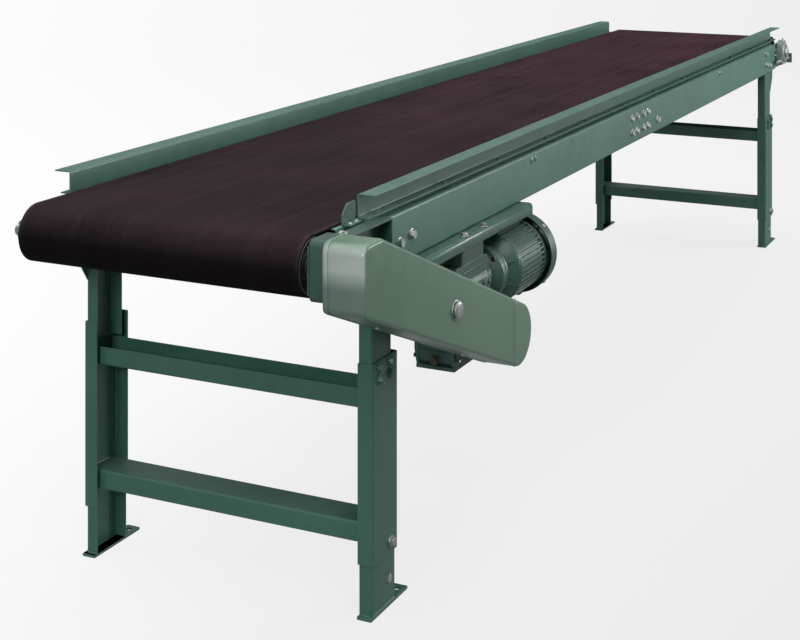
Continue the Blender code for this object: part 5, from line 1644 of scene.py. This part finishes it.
def world_light():
    w = bpy.data.worlds.new("studio_air")
    bpy.context.scene.world = w
    w.use_nodes = True
    t = w.node_tree
    t.nodes.clear()
    out = t.nodes.new("ShaderNodeOutputWorld")
    co = t.nodes.new("ShaderNodeTexCoord")
    sep = t.nodes.new("ShaderNodeSeparateXYZ")
    t.links.new(co.outputs["Generated"], sep.inputs["Vector"])
    rp = t.nodes.new("ShaderNodeValToRGB")
    e = rp.color_ramp.elements
    e[0].position, e[0].color = 0.0, (0.10, 0.10, 0.10, 1)
    e[1].position, e[1].color = 1.0, (1.0, 1.0, 1.0, 1)
    mid = e.new(0.30)
    mid.color = (0.30, 0.31, 0.31, 1)
    t.links.new(sep.outputs["Z"], rp.inputs["Fac"])
    # the side the light comes from is brighter than the side behind the object
    dot = t.nodes.new("ShaderNodeVectorMath")
    dot.operation = "DOT_PRODUCT"
    t.links.new(co.outputs["Generated"], dot.inputs[0])
    dot.inputs[1].default_value = Vector((-0.55, -0.35, 0.76)).normalized()
    mr = t.nodes.new("ShaderNodeMapRange")
    mr.inputs["From Min"].default_value = -0.6
    mr.inputs["From Max"].default_value = 1.0
    mr.inputs["To Min"].default_value = 0.35
    mr.inputs["To Max"].default_value = 1.25
    t.links.new(dot.outputs["Value"], mr.inputs["Value"])
    mul = t.nodes.new("ShaderNodeMath")
    mul.operation = "MULTIPLY"
    t.links.new(mr.outputs["Result"], mul.inputs[0])
    mul.inputs[1].default_value = WORLD_STRENGTH
    bg = t.nodes.new("ShaderNodeBackground")
    t.links.new(rp.outputs["Color"], bg.inputs["Color"])
    t.links.new(mul.outputs["Value"], bg.inputs["Strength"])
    seen = t.nodes.new("ShaderNodeBackground")
    t.links.new(backdrop_tone(t), seen.inputs["Color"])
    lp = t.nodes.new("ShaderNodeLightPath")
    mx = t.nodes.new("ShaderNodeMixShader")
    t.links.new(lp.outputs["Is Camera Ray"], mx.inputs["Fac"])
    t.links.new(bg.outputs["Background"], mx.inputs[1])
    t.links.new(seen.outputs["Background"], mx.inputs[2])
    t.links.new(mx.outputs["Shader"], out.inputs["Surface"])


FLOOR_TONE = 0.912
FLOOR_SHADOW, FLOOR_DIFF, FLOOR_BOUNCE = 0.10, 0.80, 0.34
WORLD_STRENGTH = 1.0
stage_floor()
world_light()
area("key", (-4.2, -2.6, 4.6), (-1.2, 0, 0.5), 2.6, 90, (1.0, 0.985, 0.96))
area("top", (0.6, 0.2, 4.4), (0.2, 0.0, 0.6), 3.2, 105, (0.97, 0.99, 1.0), 6.0)
area("far_side", (3.4, -4.0, 1.6), (2.2, -0.3, 0.7), 2.2, 190, (0.98, 1.0, 1.0), 2.0)
area("front_left", (-5.2, -0.5, 2.0), (-1.9, -0.4, 0.7), 1.0, 100, (1.0, 0.995, 0.98))
area("back", (-1.0, 4.2, 3.2), (0.2, 0.2, 0.6), 3.0, 70, (0.97, 0.99, 1.0), 5.0)

cam_data = bpy.data.cameras.new("photo_camera")
cam = bpy.data.objects.new("photo_camera", cam_data)
bpy.context.scene.collection.objects.link(cam)
CAM = ((-4285.4 + OX) * MM, (-1657.2 + OY) * MM, 1.4030)
cam.location = CAM
cam.rotation_euler = (math.radians(90.0), 0.0, math.radians(-64.172))
cam_data.sensor_width = 36.0
cam_data.lens = 1582.28 * 36.0 / 800.0
cam_data.clip_start, cam_data.clip_end = 0.05, 400.0
# The photograph keeps its uprights parallel: a level camera with its lens shifted down. The shift belongs
# to that one place, so it follows the camera's own x position and is gone when the camera looks from elsewhere.
cam_data.shift_y = -0.5662
fcu = cam_data.driver_add("shift_y")
drv = fcu.driver
drv.type = "SUM"
var = drv.variables.new()
var.name = "place"
var.type = "TRANSFORMS"
var.targets[0].id = cam
var.targets[0].transform_type = "LOC_X"
var.targets[0].transform_space = "WORLD_SPACE"
while len(fcu.modifiers):
    fcu.modifiers.remove(fcu.modifiers[0])
while len(fcu.keyframe_points):
    fcu.keyframe_points.remove(fcu.keyframe_points[0])
for xx, vv in ((CAM[0] - 0.3, 0.0), (CAM[0] - 0.1, -0.5662), (CAM[0] + 0.1, -0.5662), (CAM[0] + 0.3, 0.0)):
    kp = fcu.keyframe_points.insert(xx, vv)
    kp.interpolation = "LINEAR"
fcu.extrapolation = "CONSTANT"
fcu.update()
bpy.context.scene.camera = cam
bpy.context.scene.view_settings.view_transform = "Standard"
bpy.context.scene.view_settings.look = "None"
